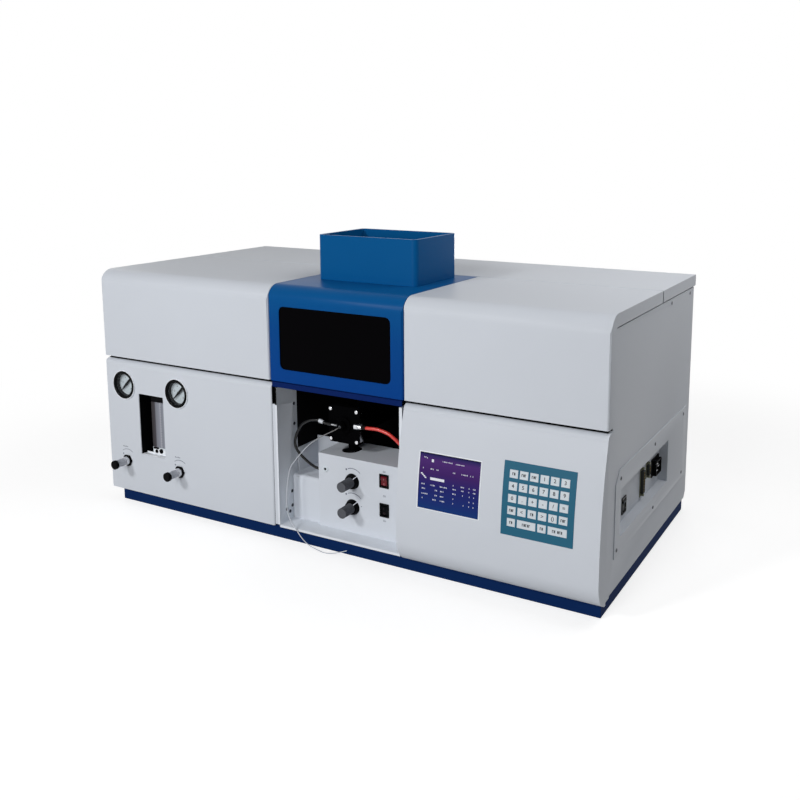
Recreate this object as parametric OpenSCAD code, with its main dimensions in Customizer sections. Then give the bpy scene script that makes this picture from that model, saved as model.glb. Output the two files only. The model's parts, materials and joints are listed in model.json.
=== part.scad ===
// Bench atomic absorption spectrophotometer with a flame burner behind a hood.
// X runs to the right, Y to the back and Z up from the bench, in millimetres.
// The modules draw from the front plane of the covers, and place() moves it to front_y.

/* [Casing] */
// Width over both side covers
body_w = 1020; // [1000:1:1240]
// Depth from the front plane to the back
body_d = 490; // [460:1:600]
// Height of the top covers above the bench
body_h = 460; // [455:1:560]
// Width of the lamp side of the casing
lamp_w = 407; // [390:1:480]
// Width of the flame hood
hood_w = 271; // [265:1:330]
// Depth of the covers that lift
cover_d = 265; // [258:1:310]
// Height of the lower edge of the upper covers
seam_z = 293; // [285:1:300]
// Open seam between upper covers and front panels
seam_gap = 6; // [4:1:10]
// Thickness of the sheet steel
sheet = 1.5; // [1.2:0.1:2]
// Radius of the covers' top front edge
cover_r = 28; // [15:1:40]
// Radius of the covers' upright corners
corner_r = 4; // [3:0.5:8]
// Gap between neighbouring covers
joint_gap = 1; // [0.6:0.1:2]
// Height of the side flange of the top covers
band_top = 20; // [15:1:30]
// Width of the side flange of the front covers
band_front = 24; // [18:1:30]
// Width of a folded hem
hem = 12; // [8:1:16]
// Radius of the hinge knuckles in the top seam
knuckle_r = 2; // [1.8:0.1:3]
// Radius of the hinge pin
pin_r = 1; // [0.8:0.1:1.2]
// Knuckles along each lifting cover
knuckles = 8; // [4:2:16]
// Radial play of pins and shafts that turn
play = 0.05; // [0.02:0.01:0.08]

/* [Plinth] */
// Top of the plinth above the bench
base_h = 28; // [24:1:40]
// Height of the rubber feet
foot_h = 4; // [3:0.5:8]
// How far the plinth's walls reach down past its rim, to hide the feet
skirt_h = 3; // [0:0.5:3]
// Radius of the rubber feet
foot_r = 16; // [12:1:20]
// Plinth inset at the lamp end
base_in_left = 22; // [5:1:30]
// Plinth inset at the display end
base_in_right = 7; // [5:1:30]
// Plinth inset at the front
base_in_front = 9; // [9:1:20]
// Plinth inset at the back
base_in_back = 6; // [4:1:20]

/* [Flame hood] */
// Width of the window opening
window_w = 224; // [180:1:226]
// Height of the window opening
window_h = 110; // [80:1:112]
// Corner radius of the window opening
window_r = 10; // [5:1:16]
// Window opening above the lower edge of the hood
window_up = 22; // [18:1:24]
// Thickness of the window glass
glass_t = 3; // [2:0.5:4]
// Width of the exhaust duct
chimney_w = 203; // [160:1:210]
// Depth of the exhaust duct
chimney_d = 145; // [120:1:150]
// Height of the exhaust duct above the covers
chimney_h = 80; // [50:1:150]
// Corner radius of the exhaust duct
chimney_r = 10; // [5:1:20]
// Hood plate behind the duct
chimney_back = 20; // [14:1:30]

/* [Gas panel] */
// Diameter of the gauge bezels
gauge_d = 56; // [50:1:60]
// First gauge from the lamp end
gauge_x = 49; // [40:1:60]
// Distance between the gauges
gauge_pitch = 136; // [130:1:150]
// Height of the gauges
gauge_z = 239; // [232:1:242]
// Width of the flow meter window
flow_w = 63; // [56:1:66]
// Height of the flow meter window
flow_h = 120; // [100:1:120]
// Lower edge of the flow meter window
flow_z = 106; // [104:1:112]
// Height of the needle valves
valve_z = 87; // [80:1:90]
// Reach of the valve knobs in front of the panel
valve_reach = 36; // [30:1:44]
// Radius of the gas spigots at the back
spigot_r = 4; // [3:0.5:6]
// Reach of the gas spigots behind the casing
inlet_reach = 22; // [18:1:40]
// Sweep of a gauge needle in degrees
needle_sweep = 270; // [180:5:300]

/* [Control panel] */
// How far the control panel leans out
lean = 26; // [15:1:32]
// Radius of the panel's bulge
bulge_r = 700; // [600:10:900]
// Height where the panel stands out most
bulge_z = 88; // [80:1:95]
// Radius of the rolled lower edge
roll_r = 45; // [40:1:50]
// Width of the display
screen_w = 107; // [90:1:115]
// Height of the display
screen_h = 89; // [80:1:98]
// Display from the hood's right edge
screen_x = 40; // [22:1:44]
// Lower edge of the display
screen_z = 130.5; // [112:0.5:134]
// Width of the keypad
pad_w = 116; // [110:1:125]
// Height of the keypad
pad_h = 112; // [105:1:118]
// Gap between display and keypad
pad_gap = 38.5; // [24:0.5:48]
// Lower edge of the keypad
pad_z = 117; // [104:1:120]
// Thickness of the keypad film
film_t = 0.5; // [0.3:0.1:0.8]

/* [Burner bay] */
// Height of the shelf above the bench
shelf_z = 164; // [150:1:166]
// Set-back of the bay's front panel
shelf_y = 34; // [30:1:36]
// Width of the low part at the panel's left end
notch_w = 62; // [50:1:70]
// Top of the low part
notch_z = 112; // [100:1:120]
// Burner column from the lamp end of the bay
column_x = 105; // [95:1:115]
// Radius of the burner column
column_r = 9; // [8:1:10]
// Column behind the front plane
column_y = 80; // [76:1:84]
// Height of the mixing chamber's axis
chamber_z = 215; // [210:1:222]
// Radius of the mixing chamber
chamber_r = 26; // [24:1:28]
// Length of the burner slot
slot_l = 100; // [80:1:110]
// Burner slot behind the front plane
burner_y = 174; // [165:1:180]
// Height of the light beam above the covers' lower edge
beam_up = 42; // [38:1:46]
// Travel of the burner lift
lift_travel = 12; // [8:1:14]
// Travel of the burner towards the front
cross_travel = 8; // [5:1:10]
// Pitch of the screw that moves the burner to the front
screw_pitch = 4; // [2:0.5:6]
// Radius of the pinion's pitch circle
pinion_r = 10; // [9:1:12]
// Teeth on the pinion
pinion_teeth = 12; // [10:1:16]

/* [Lamps] */
// Lamps in the turret
lamps = 4; // [2:1:4]
// Radius of a lamp's glass
lamp_r = 19; // [16:1:20]
// Radius of the circle that the lamps stand on
lamp_circle = 44; // [40:1:46]

/* [Side pocket] */
// Front edge of the pocket
pocket_y = 70; // [60:1:80]
// Length of the pocket
pocket_l = 270; // [250:1:290]
// Lower edge of the pocket
pocket_z = 107; // [100:1:112]
// Height of the pocket
pocket_h = 76; // [70:1:84]
// Depth of the pocket
pocket_d = 16; // [12:1:20]

/* [Hidden] */
$fn = 64;
tau = 2 * PI;

// Colours
white = [0.84, 0.85, 0.88];
blue = [0.1, 0.29, 0.5];
navy = [0.08, 0.14, 0.34];
steel = [0.62, 0.64, 0.66];
chrome = [0.8, 0.81, 0.83];
black = [0.08, 0.08, 0.09];
grey = [0.4, 0.41, 0.43];
clear = [0.75, 0.8, 0.82, 0.4];

// Places worked out from the sizes above
front_y = -(body_d + inlet_reach - valve_reach) / 2;
half_w = body_w / 2;
hood_l = lamp_w - half_w;
hood_r = hood_l + hood_w;
hood_mid = (hood_l + hood_r) / 2;
panel_top = seam_z - seam_gap;
lip_z = seam_z - 12;
panel_low = base_h - 2;
side_t = sheet;
side_x = half_w - 2;
side_y = band_front + 1;
side_top = body_h - band_top - 2.5;
beam_z = seam_z + beam_up;
deck_t = 8;
deck_z = seam_z - 9;
hinge_y = cover_d + 1;
hinge_z = body_h - knuckle_r;
edge_gap = knuckle_r + 0.5;
left_wall = hood_l + 2.5;
right_wall = hood_r - 4.5;
bay_l = hood_l + 14;
bay_r = hood_r - 8;
liner_y = 56;
liner_d = 194;
chimney_y0 = cover_d + 1 - chimney_back - chimney_d;
column_cx = bay_l + column_x;
cap_y = 52;
cap_t = 10;
cap_w = 66;
cap_bolt = 27;
knob_x = column_cx + 28;
height_z = shelf_z - 40.5;
depth_z = height_z - 46.5;
turret_z = beam_z + lamp_circle;
turret_x = hood_l - 150;
gauge_x0 = gauge_x - half_w;
flow_x0 = gauge_x0 + 37;
slack = 0.3;

module place() translate([0, front_y, 0]) children();
module block(low, high) translate(low) cube(high - low);
module rod_x(x0, x1, y, z, r) translate([x0, y, z]) rotate([0, 90, 0]) cylinder(h = x1 - x0, r = r);
module rod_y(x, y0, y1, z, r) translate([x, y0, z]) rotate([-90, 0, 0]) cylinder(h = y1 - y0, r = r);
module rod_z(x, y, z0, z1, r) translate([x, y, z0]) cylinder(h = z1 - z0, r = r);
module along_x(x0, x1) translate([x0, 0, 0]) rotate([90, 0, 90]) linear_extrude(x1 - x0) children();
module along_y(y0, y1) translate([0, y1, 0]) rotate([90, 0, 0]) linear_extrude(y1 - y0) children();

// Rectangle with round corners, centred
module round_rect(w, h, r) {
    square([w - 2 * r, h], center = true);
    square([w, h - 2 * r], center = true);
    for (x = [-1, 1], y = [-1, 1])
        translate([x * (w / 2 - r), y * (h / 2 - r)]) circle(r);
}

// Side view of a cover: Y to the right, Z up, round at the top front
module cover_profile(depth, low, high, r) {
    translate([r, low]) square([depth - r, high - low]);
    translate([0, low]) square([depth, high - low - r]);
    translate([r, high - r]) circle(r);
}

// Plan of a cover, round at both front corners
module cover_plan(width, depth, r) {
    translate([0, r]) square([width, depth - r]);
    translate([r, 0]) square([width - 2 * r, depth]);
    for (x = [r, width - r]) translate([x, r]) circle(r);
}

module cover_solid(x0, x1, depth, low, high, r, rc) {
    intersection() {
        along_x(x0, x1) cover_profile(depth, low, high, r);
        translate([x0, 0, low - 1]) linear_extrude(high - low + 2) cover_plan(x1 - x0, depth, rc);
    }
}

// Folded cover: front and top, with flanges of their own width at each end.
// ends is [front flange left, top flange left, front flange right, top flange right]
module folded_cover(x0, x1, depth, low, high, r, ends) {
    difference() {
        cover_solid(x0, x1, depth, low, high, r, corner_r);
        translate([0, sheet, 0])
            cover_solid(x0 + sheet, x1 - sheet, depth, low - 1, high - sheet, r - sheet, corner_r - sheet);
        block([x0 - 1, ends[0], low - 1], [x0 + corner_r, depth + 1, high - ends[1]]);
        block([x1 - corner_r, ends[2], low - 1], [x1 + 1, depth + 1, high - ends[3]]);
    }
}

// Knuckles of a rolled hinge on the top seam. side is -1 for the lid and 1 for the casing
module hinge_row(x0, x1, side) {
    pitch = (x1 - x0) / knuckles;
    first = side < 0 ? 0 : 1;
    for (i = [first:2:knuckles - 1]) {
        a = x0 + i * pitch + 0.2;
        b = a + pitch - 0.4;
        difference() {
            union() {
                rod_x(a, b, hinge_y, hinge_z, knuckle_r);
                block([a, hinge_y + min(side * 1.2, side * 5), hinge_z - 0.5],
                      [b, hinge_y + max(side * 1.2, side * 5), hinge_z + 0.7]);
            }
            if (side < 0) rod_x(a - 1, b + 1, hinge_y, hinge_z, pin_r + play);
        }
    }
    if (side > 0) rod_x(x0 + 1, x1 - 1, hinge_y, hinge_z, pin_r);
}

// Low screw head with a cross in it, on a face whose normal is along X
module side_screw(x, y, z, dir) translate([x, y, z]) rotate([0, dir * 90, 0]) difference() {
    translate([0, 0, -0.2]) cylinder(h = 0.9, r = 3);
    for (a = [30, 120]) rotate(a) translate([0, 0, 0.7]) cube([3.6, 0.8, 1], center = true);
}

// Plinth and feet

module base_plinth() place() color(navy) {
    x0 = base_in_left - half_w;
    x1 = half_w - base_in_right;
    y0 = base_in_front;
    y1 = body_d - base_in_back;
    rim = 30;
    difference() {
        block([x0, y0, foot_h - skirt_h], [x1, y1, base_h]);
        block([x0 + 2, y0 + 2, -1], [x1 - 2, y1 - 2, foot_h]);
        block([x0 + 2, y0 + 2, foot_h + 2], [x1 - 2, y1 - 2, base_h - 2]);
        block([x0 + rim, y0 + rim, foot_h - 1], [x1 - rim, y1 - rim, foot_h + 3]);
    }
}

module feet() place() color(black) {
    x0 = base_in_left - half_w + foot_r + 3;
    x1 = half_w - base_in_right - foot_r - 3;
    y0 = base_in_front + foot_r + 3;
    y1 = body_d - base_in_back - foot_r - 3;
    for (x = [x0, (x0 + x1) / 2, x1], y = [y0, y1])
        translate([x, y, 0]) cylinder(h = foot_h, r1 = foot_r - 2, r2 = foot_r);
}

// Inner frame

module bulkhead(x, turn) {
    y1 = body_d - 5;
    difference() {
        union() {
            block([x, 3, base_h], [x + sheet, y1, body_h - 7]);
            block([x, hinge_y + 6, body_h - 8], [x + sheet, y1, body_h - sheet - 0.2]);
            block([x + min(0, turn * 14), 30, base_h], [x + max(sheet, turn * 14), y1, base_h + sheet]);
        }
        block([x - 20, body_d - 15, base_h - 1], [x + 20, body_d, base_h + 14]);
        rod_x(x - 1, x + sheet + 1, burner_y, beam_z, 16 + slack);
        block([x - 20, 2, lip_z - 31], [x + 20, cover_r, body_h]);
        block([x - 1, cover_d - 20, base_h + 60], [x + sheet + 1, cover_d + 60, base_h + 160]);
    }
}

module left_bulkhead() place() color(steel) {
    bulkhead(left_wall, -1);
    block([left_wall, 2, base_h + 1], [left_wall + 8.5, 2 + sheet, lip_z - 31]);
    block([left_wall, 2, base_h + 1], [left_wall + sheet, 4, lip_z - 31]);
}

module right_bulkhead() place() color(steel) {
    difference() {
        bulkhead(right_wall, 1);
        travel_slot(right_wall - 1, right_wall + 3, fuel_out_y, fuel_out_z, fuel_d / 2);
    }
}

module deck(x0, x1) {
    difference() {
        union() {
            block([x0, band_front + 1, deck_z - deck_t], [x1, body_d - 6, deck_z]);
            block([x0, band_front + 1, deck_z - deck_t], [x1, band_front + 3, panel_top + 2]);
            block([x0, 8, panel_top + 0.5], [x1, band_front + 2, panel_top + 2]);
        }
        for (x = [x0 + 40:60:x1 - 50])
            block([x, cover_d + 40, deck_z - deck_t - 1], [x + 30, body_d - 40, deck_z + 1]);
    }
    block([x0 + 4, 8, panel_top + 1], [x1 - 4, 10, seam_z - slack]);
}

module lamp_deck() place() color(grey) deck(-side_x + side_t + 0.5, left_wall);
module optics_deck() place() color(grey) deck(right_wall + sheet, side_x - side_t - 0.5);

// Casing

module rear_panel() place() color(white) {
    y = body_d - 2;
    difference() {
        along_x(4 - half_w, half_w - 4)
            polygon([[y - sheet, body_h - sheet - 0.3], [y, body_h - sheet - 0.3], [y, base_h + 12],
                     [y - 9, base_h + 0.3], [y - 11.5, base_h + 0.3], [y - sheet, base_h + 12.6]]);
        for (side = [-1, 1], i = [0:7], j = [0, 1])
            translate([side * 300 + (j - 0.5) * 90, y, 330 + i * 12])
                rotate([90, 0, 0]) linear_extrude(8, center = true) round_rect(70, 4, 1.9);
        for (x = gas_inlet_x) rod_y(x, y - 5, y + 5, gas_inlet_z, 7.5 + slack);
    }
}

module rear_top_cover() place() color(white) {
    y0 = hinge_y + edge_gap;
    difference() {
        translate([-half_w, y0, body_h - band_top]) cube([body_w, body_d - y0, band_top]);
        block([sheet - half_w, y0 + sheet, body_h - band_top - 1],
              [half_w - sheet, body_d - sheet, body_h - sheet]);
        block([sheet - half_w, y0 - 1, body_h - band_top - 1], [half_w - sheet, y0 + 3, body_h - 6]);
    }
    hinge_row(4 - half_w, hood_l - joint_gap - 4, 1);
    hinge_row(hood_r + joint_gap + 4, half_w - 4, 1);
}

module side_outline(top) {
    cut = 12;
    polygon([[side_y, base_h + 0.3], [side_y, top], [body_d - 4, top], [body_d - 4, base_h + cut],
             [body_d - 4 - cut * 0.8, base_h + 0.3]]);
}

module side_panel(dir) {
    x0 = dir < 0 ? -side_x : side_x - side_t;
    along_x(x0, x0 + side_t) side_outline(side_top);
    x1 = dir < 0 ? x0 + 1 : x0 - 24;
    block([x1, side_y, base_h + 0.3], [x1 + 24.5, body_d - 20, base_h + 0.3 + sheet]);
    x2 = dir < 0 ? x0 + 1 : x0 - 13;
    block([x2, side_y, side_top - sheet], [x2 + 13.5, body_d - 6, side_top]);
}

module left_side_panel() place() color(white) side_panel(-1);

module right_side_panel() place() color(white) {
    for (y = [330, 457]) side_screw(side_x, y, side_top - 8, 1);
    difference() {
        side_panel(1);
        block([side_x - side_t - 1, pocket_y - 3, pocket_z - 3],
              [side_x + 1, pocket_y + pocket_l + 3, pocket_z + pocket_h + 3]);
    }
}

plate_t = 1.2;
floor_x = side_x + plate_t - pocket_d;
plate_screws = [
    for (row = [[-14, pocket_z - 16], [pocket_l / 2 + 48, pocket_z - 18], [pocket_l + 102, pocket_z - 16],
                [-2, pocket_z + pocket_h + 18], [pocket_l / 2 + 48, pocket_z + pocket_h + 18],
                [pocket_l + 102, pocket_z + pocket_h + 21]])
        [pocket_y + row[0], row[1]]
];

module connector_plate() place() color(white) {
    y1 = pocket_y + pocket_l;
    z1 = pocket_z + pocket_h;
    difference() {
        union() {
            along_x(side_x, side_x + plate_t)
                polygon([[pocket_y - 25, pocket_z - 27], [pocket_y - 25, z1 + 15], [pocket_y - 8, z1 + 33],
                         [y1 + 126, z1 + 33], [y1 + 126, pocket_z - 27]]);
            block([floor_x - plate_t, pocket_y - plate_t, pocket_z - plate_t],
                  [side_x + 0.1, y1 + plate_t, z1 + plate_t]);
            for (p = plate_screws) side_screw(side_x + plate_t, p[0], p[1], 1);
        }
        block([floor_x, pocket_y, pocket_z], [side_x + 5, y1, z1]);
        to_side(floor_x, mains_y, mains_z) cube(case_hole(mains_w, mains_h), center = true);
    }
}

module lamp_cover() place() color(white) {
    x0 = -half_w;
    x1 = hood_l - joint_gap / 2;
    folded_cover(x0, x1, hinge_y - edge_gap, seam_z, body_h, cover_r, [band_front, band_top, hem, hem]);
    block([x0 + corner_r, sheet - 0.1, seam_z], [x1 - corner_r, hem, seam_z + sheet]);
    hinge_row(x0 + 4, hood_l - joint_gap - 4, -1);
}

module right_cover() place() color(white) {
    x0 = hood_r + joint_gap / 2;
    x1 = half_w;
    folded_cover(x0, x1, hinge_y - edge_gap, seam_z, body_h, cover_r, [hem, hem, band_front, band_top]);
    block([x0 + corner_r, sheet - 0.1, seam_z], [x1 - corner_r, hem, seam_z + sheet]);
    hinge_row(hood_r + joint_gap + 4, x1 - 4, -1);
}

// Flame hood, its window and the duct above it

window_z = seam_z + window_up + window_h / 2;

module flame_hood() place() color(blue) {
    x0 = hood_l + joint_gap / 2;
    x1 = hood_r - joint_gap / 2;
    difference() {
        folded_cover(x0, x1, cover_d + 1, seam_z, body_h, cover_r, [hem, hem, hem, hem]);
        translate([hood_mid, 0, window_z]) rotate([90, 0, 0])
            linear_extrude(10, center = true) round_rect(window_w, window_h, window_r);
        translate([hood_mid, chimney_y0 + chimney_d / 2, body_h - 5])
            linear_extrude(10) round_rect(chimney_w - 8, chimney_d - 8, chimney_r - 4);
    }
    block([x0 + corner_r, sheet - 0.1, seam_z], [x1 - corner_r, hem - 4, seam_z + sheet]);
    // Lower lip, with a groove between it and the hood
    block([x0 + 3, 1.5, lip_z + 0.5], [x1 - 3, 1.5 + sheet, seam_z - 2.5]);
    block([x0 + 3, 1.4 + sheet, seam_z - 2.5 - sheet], [x1 - 3, 6, seam_z - 2.5]);
    block([x0 + 3, 6 - sheet, seam_z - 2.5 - sheet], [x1 - 3, 6, seam_z + 0.1]);
}

module hood_window() place() color(black)
    translate([hood_mid, sheet + slack, window_z]) rotate([-90, 0, 0])
        linear_extrude(glass_t) round_rect(window_w + 16, window_h + 16, window_r);

module chimney() place() color(blue)
    translate([hood_mid, chimney_y0 + chimney_d / 2, 0]) {
        difference() {
            translate([0, 0, body_h]) linear_extrude(chimney_h) round_rect(chimney_w, chimney_d, chimney_r);
            translate([0, 0, body_h - 1]) linear_extrude(chimney_h + 2)
                round_rect(chimney_w - 12, chimney_d - 12, chimney_r - 6);
        }
        difference() {
            translate([0, 0, body_h - 10]) linear_extrude(14)
                round_rect(chimney_w - 9, chimney_d - 9, chimney_r - 4.5);
            translate([0, 0, body_h - 11]) linear_extrude(16)
                round_rect(chimney_w - 12, chimney_d - 12, chimney_r - 6);
        }
    }

// Gas panel with gauges, flow meter and needle valves

flow_cx = flow_x0 + flow_w / 2;
flow_cz = flow_z + flow_h / 2;
valve_x = [gauge_x0 - 1, gauge_x0 + gauge_pitch];
gauge_xs = [gauge_x0, gauge_x0 + gauge_pitch];
bezel_lip = 5;
well_r = gauge_d / 2 - bezel_lip;

module gas_panel() place() color(white) {
    x0 = -half_w;
    x1 = left_wall - slack;
    difference() {
        folded_cover(x0, x1, band_front, panel_low, panel_top, 12, [band_front, band_front, 16, 16]);
        for (x = gauge_xs) rod_y(x, -5, 5, gauge_z, well_r + slack);
        translate([flow_cx, 0, flow_cz]) rotate([90, 0, 0])
            linear_extrude(10, center = true) round_rect(flow_w, flow_h, 1.5);
        for (x = valve_x) rod_y(x, -5, 5, valve_z, 7 + slack);
        block([x1 - 20, sheet + 5, panel_low - 1], [x1 + 1, 30, base_h + 3]);
        block([x0 - 1, base_in_front - 1, panel_low - 1], [x0 + 60, 30, base_h + 2.5]);
    }
}

module gauge_cases() place() color(black) for (x = gauge_xs) {
    difference() {
        union() {
            rod_y(x, -2, 0, gauge_z, gauge_d / 2);
            rod_y(x, -0.1, 26, gauge_z, well_r);
            rod_y(x, 25, 40, gauge_z - 8, 7);
        }
        rod_y(x, -3, 9, gauge_z, well_r - 1.5);
        rod_y(x, -3, 12, gauge_z, 2.5);
    }
}

module gauge_dials() place() color("white") for (x = gauge_xs) {
    difference() {
        union() {
            rod_y(x, 8, 9, gauge_z, well_r - 1.5 - slack);
            rod_y(x, 6.8, 8.1, gauge_z, 1.8);
        }
        rod_y(x, 5, 10, gauge_z, 0.8 + play);
    }
}

module gauge_lenses() place() color(clear) for (x = gauge_xs)
    rod_y(x, -0.5, 1.5, gauge_z, well_r - 1.5 - slack);

// Needle on its spindle, resting at the low end of the dial
module needle(x) {
    len = well_r - 4;
    translate([x, 0, gauge_z]) rotate([0, 45, 0]) {
        along_y(4, 4.8) polygon([[-1.6, 15], [1.6, 15], [2.1, 0], [0.4, -len], [-0.4, -len], [-2.1, 0]]);
        rod_y(0, 3.6, 6, 0, 2.4);
        rod_y(0, 5, 11, 0, 0.8);
    }
}

module air_needle() place() color(black) needle(gauge_xs[0]);
module fuel_needle() place() color(black) needle(gauge_xs[1]);

flow_d = 30;
tube_x = flow_x0 + flow_w - 25;
tube_half = 17;
bore_r = 5;
tube_y0 = 10;
tube_y1 = 27;

module flowmeter_housing() place() color(black) {
    difference() {
        translate([flow_cx, flow_d / 2 + sheet, flow_cz]) rotate([90, 0, 0])
            linear_extrude(flow_d, center = true) round_rect(flow_w + 12, flow_h + 12, 4);
        translate([flow_cx, flow_d / 2 - 2 + sheet, flow_cz]) rotate([90, 0, 0])
            linear_extrude(flow_d, center = true) round_rect(flow_w - 1, flow_h - 1, 1.5);
    }
    for (z = [flow_z + 1, flow_z + flow_h - 15])
        block([tube_x - tube_half - 2, 12, z], [tube_x + tube_half + 4, flow_d, z + 14]);
}

module flowmeter_tube() place() color(clear) {
    z0 = flow_z + 15.2;
    z1 = flow_z + flow_h - 15.2;
    difference() {
        block([tube_x - tube_half, tube_y0, z0], [tube_x + tube_half, tube_y1, z1]);
        rod_z(tube_x, (tube_y0 + tube_y1) / 2, z0 + 6, z1 + 1, bore_r);
    }
}

module flow_float() place() color(chrome) {
    y = (tube_y0 + tube_y1) / 2;
    translate([tube_x, y, flow_z + 21.5]) {
        cylinder(h = 2, r1 = 1.6, r2 = 3.4);
        translate([0, 0, 2]) cylinder(h = 4, r = 3.4);
        translate([0, 0, 6]) cylinder(h = 1.5, r1 = 4.2, r2 = 4.2);
    }
}

module valve_bodies() place() color(chrome) for (x = valve_x) {
    difference() {
        union() {
            translate([x, 0, valve_z]) rotate([90, 0, 0]) cylinder(h = 4, r = 12, $fn = 6);
            rod_y(x, -10, -3.9, valve_z, 8.5);
            rod_y(x, -0.1, 24, valve_z, 7);
            rod_y(x, 20, 30, valve_z, 9);
        }
        rod_y(x, -12, 16, valve_z, 3 + play);
    }
}

// Long knurled needle-valve knob with a smooth cap on its end
module valve_knob(x) {
    flutes = 24;
    cap = 6;
    difference() {
        rod_y(x, cap - valve_reach, -10.3, valve_z, 7.4);
        for (i = [0:flutes - 1]) {
            a = i * 360 / flutes;
            rod_y(x + 7.8 * cos(a), cap - valve_reach + 1, -9, valve_z + 7.8 * sin(a), 0.7);
        }
    }
    translate([x, -valve_reach, valve_z]) rotate([-90, 0, 0]) {
        cylinder(h = 1.3, r1 = 7.3, r2 = 8.6);
        translate([0, 0, 1.2]) cylinder(h = cap - 1.1, r = 8.6);
    }
    rod_y(x, -11, 12, valve_z, 3);
}

module air_valve_knob() place() color(grey) valve_knob(valve_x[0]);
module fuel_valve_knob() place() color(grey) valve_knob(valve_x[1]);

// Control panel

bulge_y = bulge_r - lean;
top_edge_r = 10;
roll_z = bulge_z - 22;
roll_y = bulge_y - sqrt(pow(bulge_r, 2) - pow(roll_z - bulge_z, 2)) + roll_r;
top_edge_y = bulge_y - sqrt(pow(bulge_r - top_edge_r, 2) - pow(panel_top - top_edge_r - bulge_z, 2));
panel_foot = base_h - 4;

function panel_face(z) = bulge_y - sqrt(pow(bulge_r, 2) - pow(z - bulge_z, 2));
function panel_tilt(z) = asin((z - bulge_z) / bulge_r);

module on_panel(x, z) translate([x, panel_face(z), z]) rotate([-panel_tilt(z), 0, 0]) children();

module control_outline(inset, back) {
    low = panel_foot + inset;
    intersection() {
        translate([bulge_y, bulge_z]) circle(bulge_r - inset, $fn = 720);
        translate([-lean - 1, roll_z]) square([back + lean + 1, panel_top - top_edge_r - roll_z]);
    }
    translate([top_edge_y, roll_z]) square([back - top_edge_y, panel_top - inset - roll_z]);
    translate([top_edge_y, panel_top - top_edge_r]) circle(top_edge_r - inset);
    intersection() {
        translate([roll_y, roll_z]) circle(roll_r - inset, $fn = 120);
        translate([-lean - 1, low]) square([roll_y + lean + 1, roll_z - low + 0.01]);
    }
    translate([roll_y - 0.01, low]) square([back - roll_y, roll_z - low + 0.01]);
}

screen_cx = hood_r + screen_x + screen_w / 2;
screen_cz = screen_z + screen_h / 2;
pad_x0 = hood_r + screen_x + screen_w + pad_gap;

module control_panel() place() color(white) {
    x0 = hood_r + joint_gap / 2;
    difference() {
        along_x(x0, half_w) control_outline(0, band_front);
        along_x(x0 + sheet, half_w - sheet) control_outline(sheet, band_front + 1);
        block([x0 - 1, base_in_front - 1, 0], [half_w + 1, band_front + 1, base_h + 0.5]);
        on_panel(screen_cx, screen_cz) cube([screen_w + 0.6, 30, screen_h + 0.6], center = true);
    }
}

module display() place() color([0.16, 0.14, 0.4]) on_panel(screen_cx, screen_cz) {
    block([-screen_w / 2, 0.8, -screen_h / 2], [screen_w / 2, 3.8, screen_h / 2]);
    block([-screen_w / 2 - 5, 3.7, -screen_h / 2 - 5], [screen_w / 2 + 5, 9, screen_h / 2 + 5]);
}

key_w = 13.2;
key_h = 12;
key_cols = 6;
key_rows = 5;
key_side = 10.2;
key_top = 12.4;
key_px = (pad_w - 2 * key_side - key_w) / (key_cols - 1);
key_pz = (pad_h - 2 * key_top - 2 - key_h) / (key_rows - 1);

// A key's left edge, width and row, the last row holding two double keys
keys = concat(
    [for (r = [0:key_rows - 2], c = [0:key_cols - 1]) [c, 1, r]],
    [[0, 1, key_rows - 1], [1, 2, key_rows - 1], [3, 1, key_rows - 1], [4, 2, key_rows - 1]]
);

module curved_film(x0, x1, z0, z1, low, high) {
    intersection() {
        block([x0, -lean - 5, z0], [x1, 40, z1]);
        along_x(x0, x1) difference() {
            translate([bulge_y, bulge_z]) circle(bulge_r + high, $fn = 720);
            translate([bulge_y, bulge_z]) circle(bulge_r + low, $fn = 720);
        }
    }
}

module keypad() place() color([0.2, 0.45, 0.58]) {
    curved_film(pad_x0, pad_x0 + pad_w, pad_z, pad_z + pad_h, 0.03, 0.03 + film_t);
    for (k = keys) {
        x = pad_x0 + key_side + k[0] * key_px;
        z = pad_z + pad_h - key_top - key_h - k[2] * key_pz;
        curved_film(x, x + key_w + (k[1] - 1) * key_px, z, z + key_h, 0.03 + film_t * 0.5, 0.45 + film_t);
    }
}

// Burner bay: white cheeks and floor in front, dark liner behind, shelf between

cheek_screws = [[47, 241], [47, 204], [36, 81], [36, 54], [20, 52], [29, 45]];

module bay_frame() place() color(white) {
    floor_z = base_h + 2;
    along_x(bay_l, bay_r) {
        translate([1, floor_z - 1.5]) circle(1.5);
        translate([-0.5, panel_low]) square([1.5, floor_z - 1.5 - panel_low]);
        translate([1, base_h]) square([liner_y + liner_d - 1, 2]);
    }
    for (s = [0, 1]) {
        x = s == 0 ? bay_l - sheet : bay_r;
        block([x, 1, base_h + 0.5], [x + sheet, liner_y - slack, lip_z - 1]);
        block([s == 0 ? x - 2 : x, 0, base_h + 2], [s == 0 ? x + sheet : x + sheet + 4, 1.5, lip_z - 1]);
        for (i = [0:s == 0 ? 5 : 1])
            side_screw(s == 0 ? bay_l : bay_r, cheek_screws[i][0], cheek_screws[i][1], s == 0 ? 1 : -1);
    }
}

module chamber_liner() place() color(black) {
    y1 = liner_y + liner_d;
    top = seam_z + 8;
    difference() {
        block([bay_l - sheet, liner_y, base_h + 2], [bay_r + sheet, y1, top]);
        block([bay_l, liner_y - 1, base_h + 1], [bay_r, y1 - sheet, top + 1]);
        travel_slot(bay_r - 1, bay_r + 4, fuel_out_y, fuel_out_z, fuel_d / 2);
        rod_x(bay_l - 5, bay_r + 5, burner_y, beam_z, 20);
        block([bay_l + 40, y1 - 5, 205], [bay_r - 40, y1 + 1, 275]);
    }
}

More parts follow.
